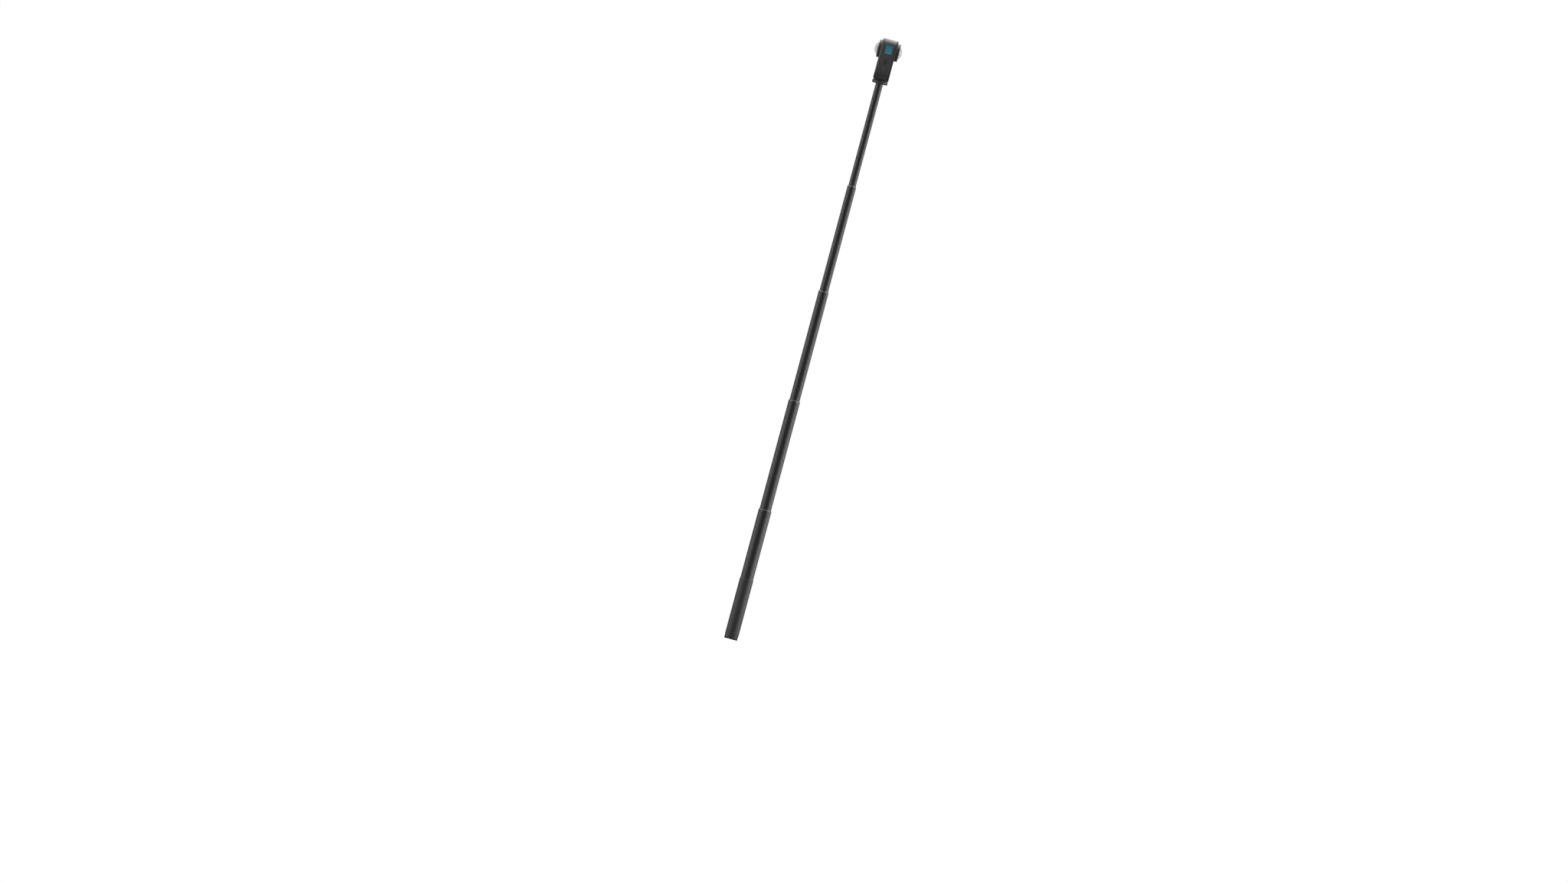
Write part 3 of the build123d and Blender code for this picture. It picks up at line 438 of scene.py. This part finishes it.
def rubbed_and_highlighted(name, level, bare_and_highlight_level, wear_and_highlight, rough, metallic):
    """Black anodised metal, lighter towards a bare tone where its mask nears 1: rubbed wear, and on
    the rims also a painted highlight.
    """
    finish = Finish(name)
    marks = finish.noise(MARK_GRAIN, detail=3.0, roughness=0.65, fineness=RUBBED)
    # The mask is rubbed wear, and on the rims also a painted highlight
    worn_and_lit = finish.start.math("MAXIMUM", wear_and_highlight(*finish.axes()), 0.0)
    worn_and_lit = finish.start.math("MINIMUM", worn_and_lit * marks.between(WEAR_AND_HIGHLIGHT_LEAST, WEAR_AND_HIGHLIGHT_MOST), 1.0)
    return finish.done(
        Base_Color=worn_and_lit.mix(grey(level, ANODISED_BLUE), grey(bare_and_highlight_level)),
        Roughness=rough + marks.swing(MARK_GLOSS_SWING) + worn_and_lit * WORN_ROUGH,
        Metallic=metallic,
        Normal=finish.bump(marks, depth=MARK_DEPTH, strength=0.4),
    )


def metal(name, colour, rough, fineness=EVEN):
    """Machined metal with fine marks."""
    finish = Finish(name)
    marks = finish.noise(MARK_GRAIN, detail=3.0, roughness=0.65, fineness=fineness)
    return finish.done(
        Base_Color=marks.mix(dimmed(colour, MARK_TONE), colour),
        Roughness=rough + marks.swing(MARK_GLOSS_SWING),
        Metallic=1.0,
        Normal=finish.bump(marks, depth=MARK_DEPTH, strength=0.4),
    )


def clear(name, tint, rough, ior):
    """Clear moulding with faint flow marks in its gloss."""
    finish = Finish(name)
    flow = finish.noise(FLOW_GRAIN, fineness=FLOWED)
    return finish.done(
        Base_Color=flow.mix(dimmed(tint, FLOW_TINT), tint),
        Roughness=rough + flow * FLOW_ROUGH,
        IOR=ior,
        Transmission_Weight=1.0,
    )


def touch_glass(name, node):
    """Black glass with finger marks in its gloss, over a display a shade lighter than its edge."""
    finish = Finish(name)
    low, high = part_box(node)
    middle = middle_of(node)
    reach = (high - low) / 2
    x, y, z = finish.axes()
    across = x.math("ABSOLUTE", y - middle.y) < reach.y - SCREEN_BORDER
    up = x.math("ABSOLUTE", z - middle.z) < reach.z - SCREEN_BORDER
    fingers = finish.noise(FINGER_GRAIN, detail=4.0, roughness=0.6)
    smears = finish.noise(SMEAR_GRAIN, detail=3.0, roughness=0.6, fineness=SMEARED)
    touched = finish.start.math("MAXIMUM", (fingers - FINGER_FLOOR) * FINGER_GAIN, 0.0) * smears
    return finish.done(
        Base_Color=(across * up).mix(grey(BORDER_TONE), grey(DISPLAY_TONE, DISPLAY_BLUE)),
        Roughness=GLASS_ROUGH + touched * FINGER_ROUGH,
        Specular_IOR_Level=0.2,
    )


def circuit(name, base, copper):
    """Solder mask over copper tracks that run along Y and Z."""
    finish = Finish(name)
    x, y, z = finish.axes()
    bends = finish.noise(BEND_GRAIN, detail=1.0)
    across = ((y + bends * TRACK_BEND_Y) / TRACK_PITCH_Y) % 1
    up = ((z + bends * TRACK_BEND_Z) / TRACK_PITCH_Z) % 1
    patch = finish.noise(PATCH_GRAIN, detail=1.0) > 0.5
    track = patch * (across < TRACK_SHARE_Y) + (1 - patch) * (up < TRACK_SHARE_Z)
    return finish.done(
        Base_Color=track.mix(base, copper),
        Roughness=track.between(MASK_ROUGH, TRACK_ROUGH),
        Normal=finish.bump(track, depth=TRACK_RELIEF, strength=0.6),
    )


def foam(name, level):
    """Closed-cell foam with fine pores."""
    finish = Finish(name)
    cells = finish.start.node("TexVoronoi", {}, {"Vector": finish.place, "Scale": PORE_GRAIN})
    return finish.done(
        Base_Color=cells.mix(grey(level * PORE_TONE), grey(level)),
        Roughness=FOAM_ROUGH + cells * PORE_ROUGH,
        Normal=finish.bump(cells, depth=PORE_DEPTH, strength=0.8),
    )


def printed(name, low, high, foot, top):
    """Ink whose colour goes from low to high between two heights."""
    finish = Finish(name)
    z = finish.axes()[2]
    rise = (z - foot) / (top - foot)
    speckle = finish.noise(SPECKLE_GRAIN)
    return finish.done(
        Base_Color=(rise + speckle.swing(SPECKLE_TONE_SWING)).mix(low, high),
        Roughness=INK_ROUGH + speckle * SPECKLE_ROUGH,
    )


def merge(mesh):
    """Drops a mesh's stored normals, and joins doubled corners and each flat face's triangles."""
    mesh.attributes.remove(mesh.attributes["custom_normal"])
    work = bmesh.new()
    work.from_mesh(mesh)
    bmesh.ops.remove_doubles(work, verts=work.verts, dist=MERGE_GAP)
    bmesh.ops.dissolve_limit(work, angle_limit=FLAT_ANGLE, verts=work.verts, edges=work.edges,
                             delimit={"NORMAL"})
    work.to_mesh(mesh)
    work.free()


def bake(obj):
    """Makes the object's modifiers real and takes them off."""
    graph = bpy.context.evaluated_depsgraph_get()
    mesh = bpy.data.meshes.new_from_object(obj.evaluated_get(graph), depsgraph=graph)
    obj.modifiers.clear()
    obj.data = mesh
    return obj


def soften(obj):
    """Smooth shading that keeps hard edges, with flat faces kept flat beside their fillets.

    Normals are weighed by area in square millimetres, because Blender drops areas that are tiny.
    """
    mesh = obj.data
    mesh.transform(Matrix.Scale(1 / MM, 4))
    mesh.shade_smooth()
    mesh.set_sharp_from_angle(angle=SHARP_ANGLE)
    weighted = obj.modifiers.new("flat_faces_first", "WEIGHTED_NORMAL")
    weighted.keep_sharp = True
    weighted.weight = AREA_WEIGHT
    bake(obj).data.transform(Matrix.Scale(MM, 4))


def add_piece(name, mesh, body, material, stands_for=()):
    """Links a finished mesh as a piece that moves with a body."""
    obj = bpy.data.objects.new(name, mesh)
    bpy.context.scene.collection.objects.link(obj)
    mesh.materials.clear()
    mesh.materials.append(material)
    soften(obj)
    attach(obj, body)
    if stands_for:
        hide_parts(*stands_for)


class Pattern:
    """A Geometry Nodes tree with named inputs for its sizes and one material."""

    def __init__(self, name, material, **sizes):
        self.group = bpy.data.node_groups.new(name, "GeometryNodeTree")
        self.material = material
        self.sizes = sizes
        face = self.group.interface
        face.new_socket("Geometry", in_out="OUTPUT", socket_type="NodeSocketGeometry")
        for size, value in sizes.items():
            kind = "NodeSocketInt" if isinstance(value, int) else "NodeSocketFloat"
            face.new_socket(size, in_out="INPUT", socket_type=kind)
        self.inputs = self.group.nodes.new("NodeGroupInput")

    def size(self, name):
        """The tree's input of this name."""
        return self.inputs.outputs[name]

    def node(self, kind, settings=None, sockets=None, out=0):
        """Adds a node, sets it up, fills or links its sockets, and returns one output."""
        made = self.group.nodes.new(kind)
        for name, value in (settings or {}).items():
            setattr(made, name, value)
        for name, value in (sockets or {}).items():
            if isinstance(value, bpy.types.NodeSocket):
                self.group.links.new(value, made.inputs[name])
            else:
                made.inputs[name].default_value = value
        return made.outputs[out]

    def math(self, operation, *values):
        """Result of a Math node on these values."""
        return self.node("ShaderNodeMath", {"operation": operation}, dict(enumerate(values)))

    def vector(self, x=0.0, y=0.0, z=0.0):
        """Vector of three numbers or sockets."""
        return self.node("ShaderNodeCombineXYZ", {}, {"X": x, "Y": y, "Z": z})

    def end(self, geometry):
        """Makes instances real, gives them the material and joins the tree's output."""
        real = self.node("GeometryNodeRealizeInstances", {}, {"Geometry": geometry})
        sockets = {"Geometry": real, "Material": self.material}
        dressed = self.node("GeometryNodeSetMaterial", {}, sockets)
        last = self.group.nodes.new("NodeGroupOutput")
        self.group.links.new(dressed, last.inputs["Geometry"])

    def grow(self, name):
        """Runs the tree with its sizes and returns the plain mesh."""
        obj = bpy.data.objects.new(name, bpy.data.meshes.new(name))
        bpy.context.scene.collection.objects.link(obj)
        modifier = obj.modifiers.new(name, "NODES")
        modifier.node_group = self.group
        for socket in self.group.interface.items_tree:
            if socket.in_out == "INPUT":
                modifier[socket.identifier] = self.sizes[socket.name]
        mesh = bake(obj).data
        bpy.data.objects.remove(obj)
        return mesh


def grow_tube(name, material, radius, wall, foot, top, lip, sides):
    """A drawn tube with rounded lips: its wall's section swept round a circle."""
    tree = Pattern(name, material, Radius=radius, Wall=wall, Foot=foot, Top=top, Lip=lip,
                   Sides=sides)
    half_wall = tree.math("MULTIPLY", tree.size("Wall"), 0.5)
    middle_radius = tree.math("SUBTRACT", tree.size("Radius"), half_wall)
    length = tree.math("SUBTRACT", tree.size("Top"), tree.size("Foot"))
    middle = tree.math("MULTIPLY", tree.math("ADD", tree.size("Top"), tree.size("Foot")), 0.5)
    circle = tree.node("GeometryNodeCurvePrimitiveCircle", {},
                       {"Resolution": tree.size("Sides"), "Radius": middle_radius})
    section = tree.node("GeometryNodeCurvePrimitiveQuadrilateral", {},
                        {"Width": tree.size("Wall"), "Height": length})
    rounded = tree.node("GeometryNodeFilletCurve", {"mode": "POLY"},
                        {"Curve": section, "Radius": tree.size("Lip"), "Count": LIP_STEPS})
    swept = tree.node("GeometryNodeCurveToMesh", {}, {"Curve": circle, "Profile Curve": rounded})
    placed = tree.node("GeometryNodeTransform", {},
                       {"Geometry": swept, "Translation": tree.vector(z=middle)})
    tree.end(placed)
    return tree.grow(name)


def grow_thread(name, material, radius, ridge, pitch, turns, foot):
    """The ridge of a screw thread: a small square section swept up a helix."""
    tree = Pattern(name, material, Radius=radius, Ridge=ridge, Pitch=pitch, Turns=turns, Foot=foot)
    rise = tree.math("MULTIPLY", tree.size("Pitch"), tree.size("Turns"))
    helix = tree.node("GeometryNodeCurveSpiral", {},
                      {"Resolution": THREAD_STEPS, "Rotations": tree.size("Turns"), "Height": rise,
                       "Start Radius": tree.size("Radius"), "End Radius": tree.size("Radius")})
    section = tree.node("GeometryNodeCurvePrimitiveCircle", {},
                        {"Resolution": RIDGE_SIDES, "Radius": tree.size("Ridge")})
    swept = tree.node("GeometryNodeCurveToMesh", {},
                      {"Curve": helix, "Profile Curve": section, "Fill Caps": True})
    placed = tree.node("GeometryNodeTransform", {},
                       {"Geometry": swept, "Translation": tree.vector(z=tree.size("Foot"))})
    tree.end(placed)
    return tree.grow(name)


def grow_bars(name, material, count, pitch, width, height, thickness):
    """A column of round-ended bars that stand in the XZ plane, one above the other."""
    tree = Pattern(name, material, Count=count, Pitch=pitch, Width=width, Height=height,
                   Thickness=thickness)
    outline = tree.node("GeometryNodeCurvePrimitiveQuadrilateral", {},
                        {"Width": tree.size("Width"), "Height": tree.size("Height")})
    round_end = tree.math("MULTIPLY", tree.size("Height"), BAR_END_SHARE)
    capsule = tree.node("GeometryNodeFilletCurve", {"mode": "POLY"},
                        {"Curve": outline, "Radius": round_end, "Count": BAR_END_STEPS})
    face = tree.node("GeometryNodeFillCurve", {}, {"Curve": capsule})
    raised = tree.node("GeometryNodeExtrudeMesh", {},
                       {"Mesh": face, "Offset Scale": tree.size("Thickness"),
                        "Individual": False})
    back = tree.node("GeometryNodeFlipFaces", {}, {"Mesh": face})
    both = tree.node("GeometryNodeJoinGeometry")
    tree.group.links.new(raised, both.node.inputs[0])
    tree.group.links.new(back, both.node.inputs[0])
    closed = tree.node("GeometryNodeMergeByDistance", {},
                       {"Geometry": both, "Distance": MERGE_GAP})
    upright = tree.node("GeometryNodeTransform", {},
                        {"Geometry": closed, "Rotation": (pi / 2, 0, 0)})
    step = tree.vector(z=tree.size("Pitch"))
    line = tree.node("GeometryNodeMeshLine", {}, {"Count": tree.size("Count"), "Offset": step})
    bars = tree.node("GeometryNodeInstanceOnPoints", {}, {"Points": line, "Instance": upright})
    tree.end(bars)
    return tree.grow(name)


def grow_punches(name, material, radius, depth, pitch, grid):
    """Small round punches along X, in a grid across Y and Z, to cut sound holes with."""
    tree = Pattern(name, material, Radius=radius, Depth=depth, Pitch=pitch, Columns=grid[0],
                   Rows=grid[1])
    spans = [tree.math("MULTIPLY", tree.size("Pitch"), tree.math("SUBTRACT", tree.size(count), 1))
             for count in ("Columns", "Rows")]
    places = tree.node("GeometryNodeMeshGrid", {},
                       {"Size X": spans[1], "Size Y": spans[0],
                        "Vertices X": tree.size("Rows"), "Vertices Y": tree.size("Columns")})
    punch = tree.node("GeometryNodeMeshCylinder", {},
                      {"Vertices": HOLE_SIDES, "Radius": tree.size("Radius"),
                       "Depth": tree.size("Depth")})
    punches = tree.node("GeometryNodeInstanceOnPoints", {}, {"Points": places, "Instance": punch})
    turned = tree.node("GeometryNodeTransform", {},
                       {"Geometry": punches, "Rotation": (0, pi / 2, 0)})
    tree.end(turned)
    return tree.grow(name)


def grow_rings(name, material, radius, bead, count, narrowing):
    """Fine rings round the X axis, each a little narrower than the last."""
    tree = Pattern(name, material, Radius=radius, Bead=bead, Count=count, Narrowing=narrowing)
    circle = tree.node("GeometryNodeCurvePrimitiveCircle", {},
                       {"Resolution": BARREL_RING_SIDES, "Radius": tree.size("Radius")})
    section = tree.node("GeometryNodeCurvePrimitiveCircle", {},
                        {"Resolution": BEAD_SIDES, "Radius": tree.size("Bead")})
    ring = tree.node("GeometryNodeCurveToMesh", {}, {"Curve": circle, "Profile Curve": section})
    facing = tree.node("GeometryNodeTransform", {}, {"Geometry": ring, "Rotation": (0, pi / 2, 0)})
    line = tree.node("GeometryNodeMeshLine", {},
                     {"Count": tree.size("Count"), "Offset": (0, 0, 0)})
    index = tree.node("GeometryNodeInputIndex")
    shrink = tree.math("SUBTRACT", 1.0, tree.math("MULTIPLY", index, tree.size("Narrowing")))
    rings = tree.node("GeometryNodeInstanceOnPoints", {},
                      {"Points": line, "Instance": facing,
                       "Scale": tree.vector(x=1.0, y=shrink, z=shrink)})
    tree.end(rings)
    return tree.grow(name)


def cut(mesh, punches):
    """Cuts the punches out of a mesh."""
    target = bpy.data.objects.new("target", mesh)
    tool = bpy.data.objects.new("tool", punches)
    for obj in (target, tool):
        bpy.context.scene.collection.objects.link(obj)
    boolean = target.modifiers.new("holes", "BOOLEAN")
    boolean.operation = "DIFFERENCE"
    boolean.solver = "EXACT"
    boolean.object = tool
    result = bake(target).data
    for obj in (target, tool):
        bpy.data.objects.remove(obj)
    return result


def dressed_copy(node, material, punches=None):
    """A smooth-shaded copy of a rigid CAD node, which it stands for, with holes if asked."""
    mesh = nodes[node].data.copy()
    merge(mesh)
    if punches:
        mesh = cut(mesh, punches)
    add_piece(node + "_skin", mesh, body_of(node), material, stands_for=(node,))


def paint(material, *names):
    """Gives CAD nodes that keep their mesh a material."""
    for name in names:
        slots = nodes[name].material_slots
        for place in slots:
            place.material = material
        if not slots:
            nodes[name].data.materials.append(material)


def add_lamp(name, place, target, width, height, radiance):
    """A rectangular soft lamp that faces a target and glows with this radiance."""
    light = bpy.data.lights.new(name, "AREA")
    light.shape = "RECTANGLE"
    light.size = width
    light.size_y = height
    light.energy = radiance * pi * width * height
    obj = bpy.data.objects.new(name, light)
    obj.location = place
    obj.rotation_euler = (Vector(target) - Vector(place)).to_track_quat("-Z", "Y").to_euler()
    obj.visible_camera = False
    bpy.context.scene.collection.objects.link(obj)


def seen_directly(start, rays):
    """1 for what the camera sees, also through glass."""
    return start.math("MAXIMUM", Shade(start.tree, rays["Is Camera Ray"]),
                      Shade(start.tree, rays["Is Transmission Ray"]))


def build_world():
    """Background that is white to the camera, and in gloss dims towards some sides."""
    world = bpy.data.worlds.new("studio")
    bpy.context.scene.world = world
    world.use_nodes = True
    tree = world.node_tree
    tree.nodes.clear()
    start = Shade(tree)
    rays = start.node("LightPath").socket.node.outputs
    seen = seen_directly(start, rays)
    mirror = Shade(tree, rays["Is Glossy Ray"])
    heading = start.node("TexCoord", out="Generated")
    split = start.node("SeparateXYZ", {}, {0: heading}).socket.node.outputs
    towards_viewer = start.math("MAXIMUM", 0 - Shade(tree, split[1]), 0.0)
    towards_ground = start.math("MAXIMUM", 0 - Shade(tree, split[2]), 0.0)
    behind = start.math("MAXIMUM", Shade(tree, split[1]), 0.0)
    left = start.math("MAXIMUM", 0 - Shade(tree, split[0]), 0.0)
    right = start.math("MAXIMUM", Shade(tree, split[0]), 0.0)
    # Twice the product is 1 halfway between the two directions
    behind_left = (2 * behind * left) ** SIDE_SPREAD
    behind_right = (2 * behind * right) ** SIDE_SPREAD
    gloss_level = 1 - VIEWER_DIMMING * towards_viewer ** SIDE_SPREAD
    gloss_level *= 1 - GROUND_DIMMING * towards_ground ** GROUND_SPREAD
    gloss_level *= 1 - BEHIND_LEFT_DIMMING * behind_left
    gloss_level *= 1 - BEHIND_RIGHT_DIMMING * behind_right
    fill_level = (1 - FILL_GROUND_DIMMING * towards_ground) * FILL_LEVEL
    strength = start.math("MAXIMUM", seen, mirror * gloss_level)
    strength = start.math("MAXIMUM", strength, (1 - mirror) * fill_level)
    background = start.node("Background", {}, {"Color": grey(1.0), "Strength": strength})
    start.node("OutputWorld", {}, {"Surface": background})


def build_floor():
    """Pale round floor that keeps the shadow, reads white where lit, and is open from below."""
    work = bmesh.new()
    bmesh.ops.create_circle(work, cap_ends=True, segments=FLOOR_SIDES, radius=FLOOR_R)
    mesh = bpy.data.meshes.new("floor")
    work.to_mesh(mesh)
    work.free()
    obj = bpy.data.objects.new("floor", mesh)
    bpy.context.scene.collection.objects.link(obj)
    material = bpy.data.materials.new("floor_paper")
    material.use_nodes = True
    tree = material.node_tree
    tree.nodes.clear()
    start = Shade(tree)
    rays = start.node("LightPath").socket.node.outputs
    seen = seen_directly(start, rays)
    mirror = Shade(tree, rays["Is Glossy Ray"])
    level = seen * FLOOR_GLOW + mirror * FLOOR_GLOSS
    tone = mirror.mix(grey(FLOOR_TONE), grey(FLOOR_TONE_IN_GLOSS))
    paper = start.node("BsdfDiffuse", {}, {"Color": tone})
    glow = start.node("Emission", {}, {"Color": grey(1.0), "Strength": level})
    both = start.node("AddShader", {}, {0: paper, 1: glow})
    underside = start.node("NewGeometry", out="Backfacing")
    gone = start.node("BsdfTransparent")
    sheet = start.node("MixShader", {}, {0: underside, 1: both, 2: gone})
    start.node("OutputMaterial", {}, {"Surface": sheet})
    mesh.materials.append(material)


def build_camera():
    """Camera at the photograph's viewing angle, far off, so that the view is nearly parallel."""
    lens = bpy.data.cameras.new("view")
    lens.lens = LENS_LENGTH
    lens.sensor_width = SENSOR_W
    lens.clip_end = VIEW_END
    obj = bpy.data.objects.new("view", lens)
    bpy.context.scene.collection.objects.link(obj)
    obj.rotation_euler = (pi / 2, 0, 0)
    obj.rotation_euler.rotate_axis("Z", LEAN)
    turn = obj.rotation_euler.to_matrix()
    offset = Vector((PHOTO_W / 2, PHOTO_H / 2)) - PIVOT_PIXEL
    pivot = Vector((0, 0, PIVOT_Z))
    centre = pivot + REAL_PER_PIXEL * (turn @ Vector((offset.x, -offset.y, 0)))
    distance = PHOTO_W * REAL_PER_PIXEL * LENS_LENGTH / SENSOR_W
    obj.location = centre + distance * Vector((0, -1, 0))
    bpy.context.scene.camera = obj


# Materials
tube_finishes = {}
for n, tube_node in enumerate(TUBE_NODES, 1):
    tube_finishes[tube_node] = carbon_twill(f"carbon_twill_{n}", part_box(tube_node)[1].x)

sleeve_finish = moulded("satin_sleeve", level=0.020, rough=0.42, grain=2600, grain_depth=0.006 * MM)
cap_finish = moulded("cap_rubber", level=0.018, rough=0.7, grain=1200, grain_depth=0.03 * MM)
ring_finishes = {}
# The rims' lighter top edges are partly rubbed anodising and partly a painted highlight along their
# chamfers
for ring_node in (*RING_NODES, "head_socket"):
    ring_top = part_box(ring_node)[1].z
    ring_finishes[ring_node] = rubbed_and_highlighted(
        f"{ring_node}_anodised", level=0.10, bare_and_highlight_level=0.15,
        wear_and_highlight=lambda x, y, z: 1 - (ring_top - z) / RING_WEAR_AND_HIGHLIGHT, rough=0.30, metallic=0.85)
pin_finish = metal("steel_pin", grey(0.62), rough=0.22)
bush_finish = moulded("bush_nylon", level=0.16, rough=0.5)
brass_finish = metal("turned_brass", (0.72, 0.50, 0.20, 1.0), rough=0.26, fineness=TURNED)
foam_finish = foam("float_foam", 0.72)
plug_finish = moulded("plug_rubber", level=0.05, rough=0.75)
stud_finish = metal("steel_stud", grey(0.55), rough=0.24, fineness=TURNED)
wheel_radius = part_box("lock_wheel")[1].x
wheel_finish = rubbed_and_highlighted(
    "wheel_anodised", level=0.014, bare_and_highlight_level=0.06,
    wear_and_highlight=lambda x, y, z: 1 - (wheel_radius - x.math("SQRT", x * x + y * y)) / KNURL_WEAR,
    rough=0.36, metallic=0.2)
pad_finish = moulded("pad_rubber", level=0.03, rough=0.8)
# The casing's body and covers darken towards their feet, painted shade where the light from above
# falls off
body_finish = moulded("body_plastic", level=0.051, rough=0.42, painted_shade_foot_level=0.033)
cover_finish = moulded("cover_plastic", level=0.044, rough=0.42, specular=0.4, painted_shade_foot_level=0.026)
# The rear cover is the front cover's plastic made darker and duller, painted shade on the camera's
# right side
rear_cover_shaded_finish = moulded("rear_cover_shaded_plastic", level=0.027, rough=0.50, specular=0.2,
                            painted_shade_foot_level=0.016)
seal_finish = moulded("seal_silicone", level=0.02, rough=0.6)
guard_finish = moulded("guard_satin", level=0.045, rough=0.46, grain=2000,
                       grain_depth=0.004 * MM, specular=0.4)
dome_finish = clear("clear_dome", (0.72, 0.73, 0.74, 1.0), rough=0.06, ior=1.45)
element_finish = clear("coated_element", (0.72, 0.76, 0.86, 1.0), rough=0.0, ior=1.5)
barrel_finish = moulded("barrel_matt", level=0.008, rough=0.6, grain=900, grain_depth=0.03 * MM)
board_finish = circuit("circuit_board", base=(0.008, 0.075, 0.03, 1.0),
                       copper=(0.02, 0.16, 0.06, 1.0))
bracket_finish = metal("bracket_alloy", grey(0.6), rough=0.35, fineness=BRUSHED)
battery_finish = moulded("battery_wrap", level=0.10, rough=0.38, grain=1800, grain_depth=0.008 * MM)
screen_finish = touch_glass("screen_glass", "touch_screen")
display_finish = moulded("display_layers", level=0.03, rough=0.2)
button_finish = moulded("button_plastic", level=0.034, rough=0.42)
switch_finish = metal("switch_plate", grey(0.5), rough=0.3)
light_finish = clear("light_pipe", (0.5, 0.1, 0.1, 1.0), rough=0.2, ior=1.5)
speaker_finish = metal("speaker_can", grey(0.06), rough=0.45)
hinge_finish = metal("hinge_steel", grey(0.18), rough=0.3)

# Nodes that keep their mesh, inside or behind others
paint(bush_finish, "friction_bush_2", "friction_bush_3", "friction_bush_4", "friction_bush_5")
paint(foam_finish, "float_core")
paint(plug_finish, "core_plug")
paint(seal_finish, "cover_seals", "door_seal")
paint(board_finish, "main_board", "front_sensor_board", "rear_sensor_board")
paint(bracket_finish, "lens_bracket")
paint(battery_finish, "battery")
paint(display_finish, "display_panel")
paint(switch_finish, "button_switches")
paint(speaker_finish, "speaker")
paint(brass_finish, "tripod_insert")
paint(stud_finish, "board_screws")
paint(hinge_finish, "door_pin")
paint(dome_finish, "front_lens_dome", "rear_lens_dome")
paint(element_finish, "front_lens_element", "rear_lens_element")

# Nodes whose shape is right, smoothed, and the tubes and the pad, grown anew
dressed_copy("base_end_cap", cap_finish)
dressed_copy("base_thread_insert", brass_finish)
dressed_copy("base_sleeve", sleeve_finish)
for tube_node, finish in tube_finishes.items():
    low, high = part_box(tube_node)
    piece_name = tube_node + "_weave"
    tube = grow_tube(piece_name, finish, high.x, TUBE_WALL, low.z, high.z, TUBE_LIP, TUBE_SIDES)
    add_piece(piece_name, tube, body_of(tube_node), finish,
              stands_for=(tube_node,))
for n, ring_node in enumerate(RING_NODES, 1):
    dressed_copy(ring_node, ring_finishes[ring_node])
    dressed_copy(f"ring_pins_{n}", pin_finish)
dressed_copy("head_socket", ring_finishes["head_socket"])
dressed_copy("tripod_stud", stud_finish)
dressed_copy("lock_wheel", wheel_finish)
pad_low, pad_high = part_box("wheel_pad")
pad = grow_tube("wheel_pad_ring", pad_finish, pad_high.x, pad_high.x - PAD_HOLE_R, pad_low.z,
                casing_low.z - PAD_GAP, PAD_LIP, PAD_SIDES)
add_piece("wheel_pad_ring", pad, "lock_wheel", pad_finish,
          stands_for=("wheel_pad",))
dressed_copy("mid_frame", body_finish)
speaker = middle_of("speaker")
front_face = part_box("front_cover")[0].x
speaker_holes = grow_punches("speaker_punch", cover_finish, HOLE_R, SPEAKER_PUNCH, HOLE_PITCH,
                             SPEAKER_GRID)
speaker_holes.transform(Matrix.Translation((front_face, speaker.y, speaker.z)))
dressed_copy("front_cover", cover_finish, speaker_holes)
rear_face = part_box("rear_cover")[1].x
sound_holes = grow_punches("microphone_punch", cover_finish, HOLE_R, MICROPHONE_PUNCH, HOLE_PITCH,
                           MICROPHONE_GRID)
sound_place = (rear_face, MICROPHONE_Y, speaker.z + MICROPHONE_RISE)
sound_holes.transform(Matrix.Translation(sound_place))
dressed_copy("rear_cover", rear_cover_shaded_finish, sound_holes)
dressed_copy("touch_screen", screen_finish)
dressed_copy("status_light", light_finish)
dressed_copy("shutter_button", button_finish)
dressed_copy("mode_button", button_finish)
dressed_copy("battery_door", body_finish)
dressed_copy("door_latch", button_finish)
for side in ("front", "rear"):
    dressed_copy(f"{side}_lens_guard", guard_finish)
    dressed_copy(f"{side}_lens_barrel", barrel_finish)

# Thread inside the base insert
insert_low, insert_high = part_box("base_thread_insert")
thread_turns = (insert_high.z - insert_low.z) / THREAD_PITCH - 1
thread = grow_thread("base_thread", brass_finish, THREAD_R, THREAD_RIDGE, THREAD_PITCH,
                     thread_turns, insert_low.z + THREAD_PITCH / 2)
add_piece("base_thread", thread, "base", brass_finish)

# Plain bars in place of the mark on the camera's side, bent round the casing's upper corner
bar_foot = casing_high.z - BAR_FOOT_DROP
bar_finish = printed("bar_ink", BAR_LOW_INK, BAR_HIGH_INK, bar_foot,
                     bar_foot + (BAR_COUNT - 1) * BAR_PITCH)
bars = grow_bars("side_bars", bar_finish, BAR_COUNT, BAR_PITCH, BAR_WIDTH, BAR_HEIGHT,
                 BAR_THICKNESS)
flat_top = casing_high.z - CASING_CORNER
for vertex in bars.vertices:
    x, y, z = vertex.co
    z += bar_foot
    over = max(0.0, z - flat_top)
    wall = casing_low.y + CASING_CORNER - sqrt(CASING_CORNER ** 2 - over ** 2)
    vertex.co = (x + BAR_MIDDLE_X, wall - BAR_PROUD + BAR_THICKNESS + y, z)
add_piece("side_bars", bars, "camera", bar_finish)

# Fine rings that keep stray light out of the lenses
lens_z = middle_of("front_lens_guard").z
for side, corner in (("front", 0), ("rear", 1)):
    barrel_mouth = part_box(f"{side}_lens_barrel")[corner].x
    rings = grow_rings(f"{side}_barrel_rings", barrel_finish, BARREL_RING_R, BARREL_RING_BEAD,
                       BARREL_RING_COUNT, BARREL_RING_NARROWING)
    rings.transform(Matrix.Translation((barrel_mouth, 0, lens_z)))
    add_piece(f"{side}_barrel_rings", rings, "camera", barrel_finish)

# Studio
build_world()
build_floor()
build_camera()
for lamp in LAMPS:
    add_lamp(*lamp)
bpy.context.scene.view_settings.view_transform = "Standard"
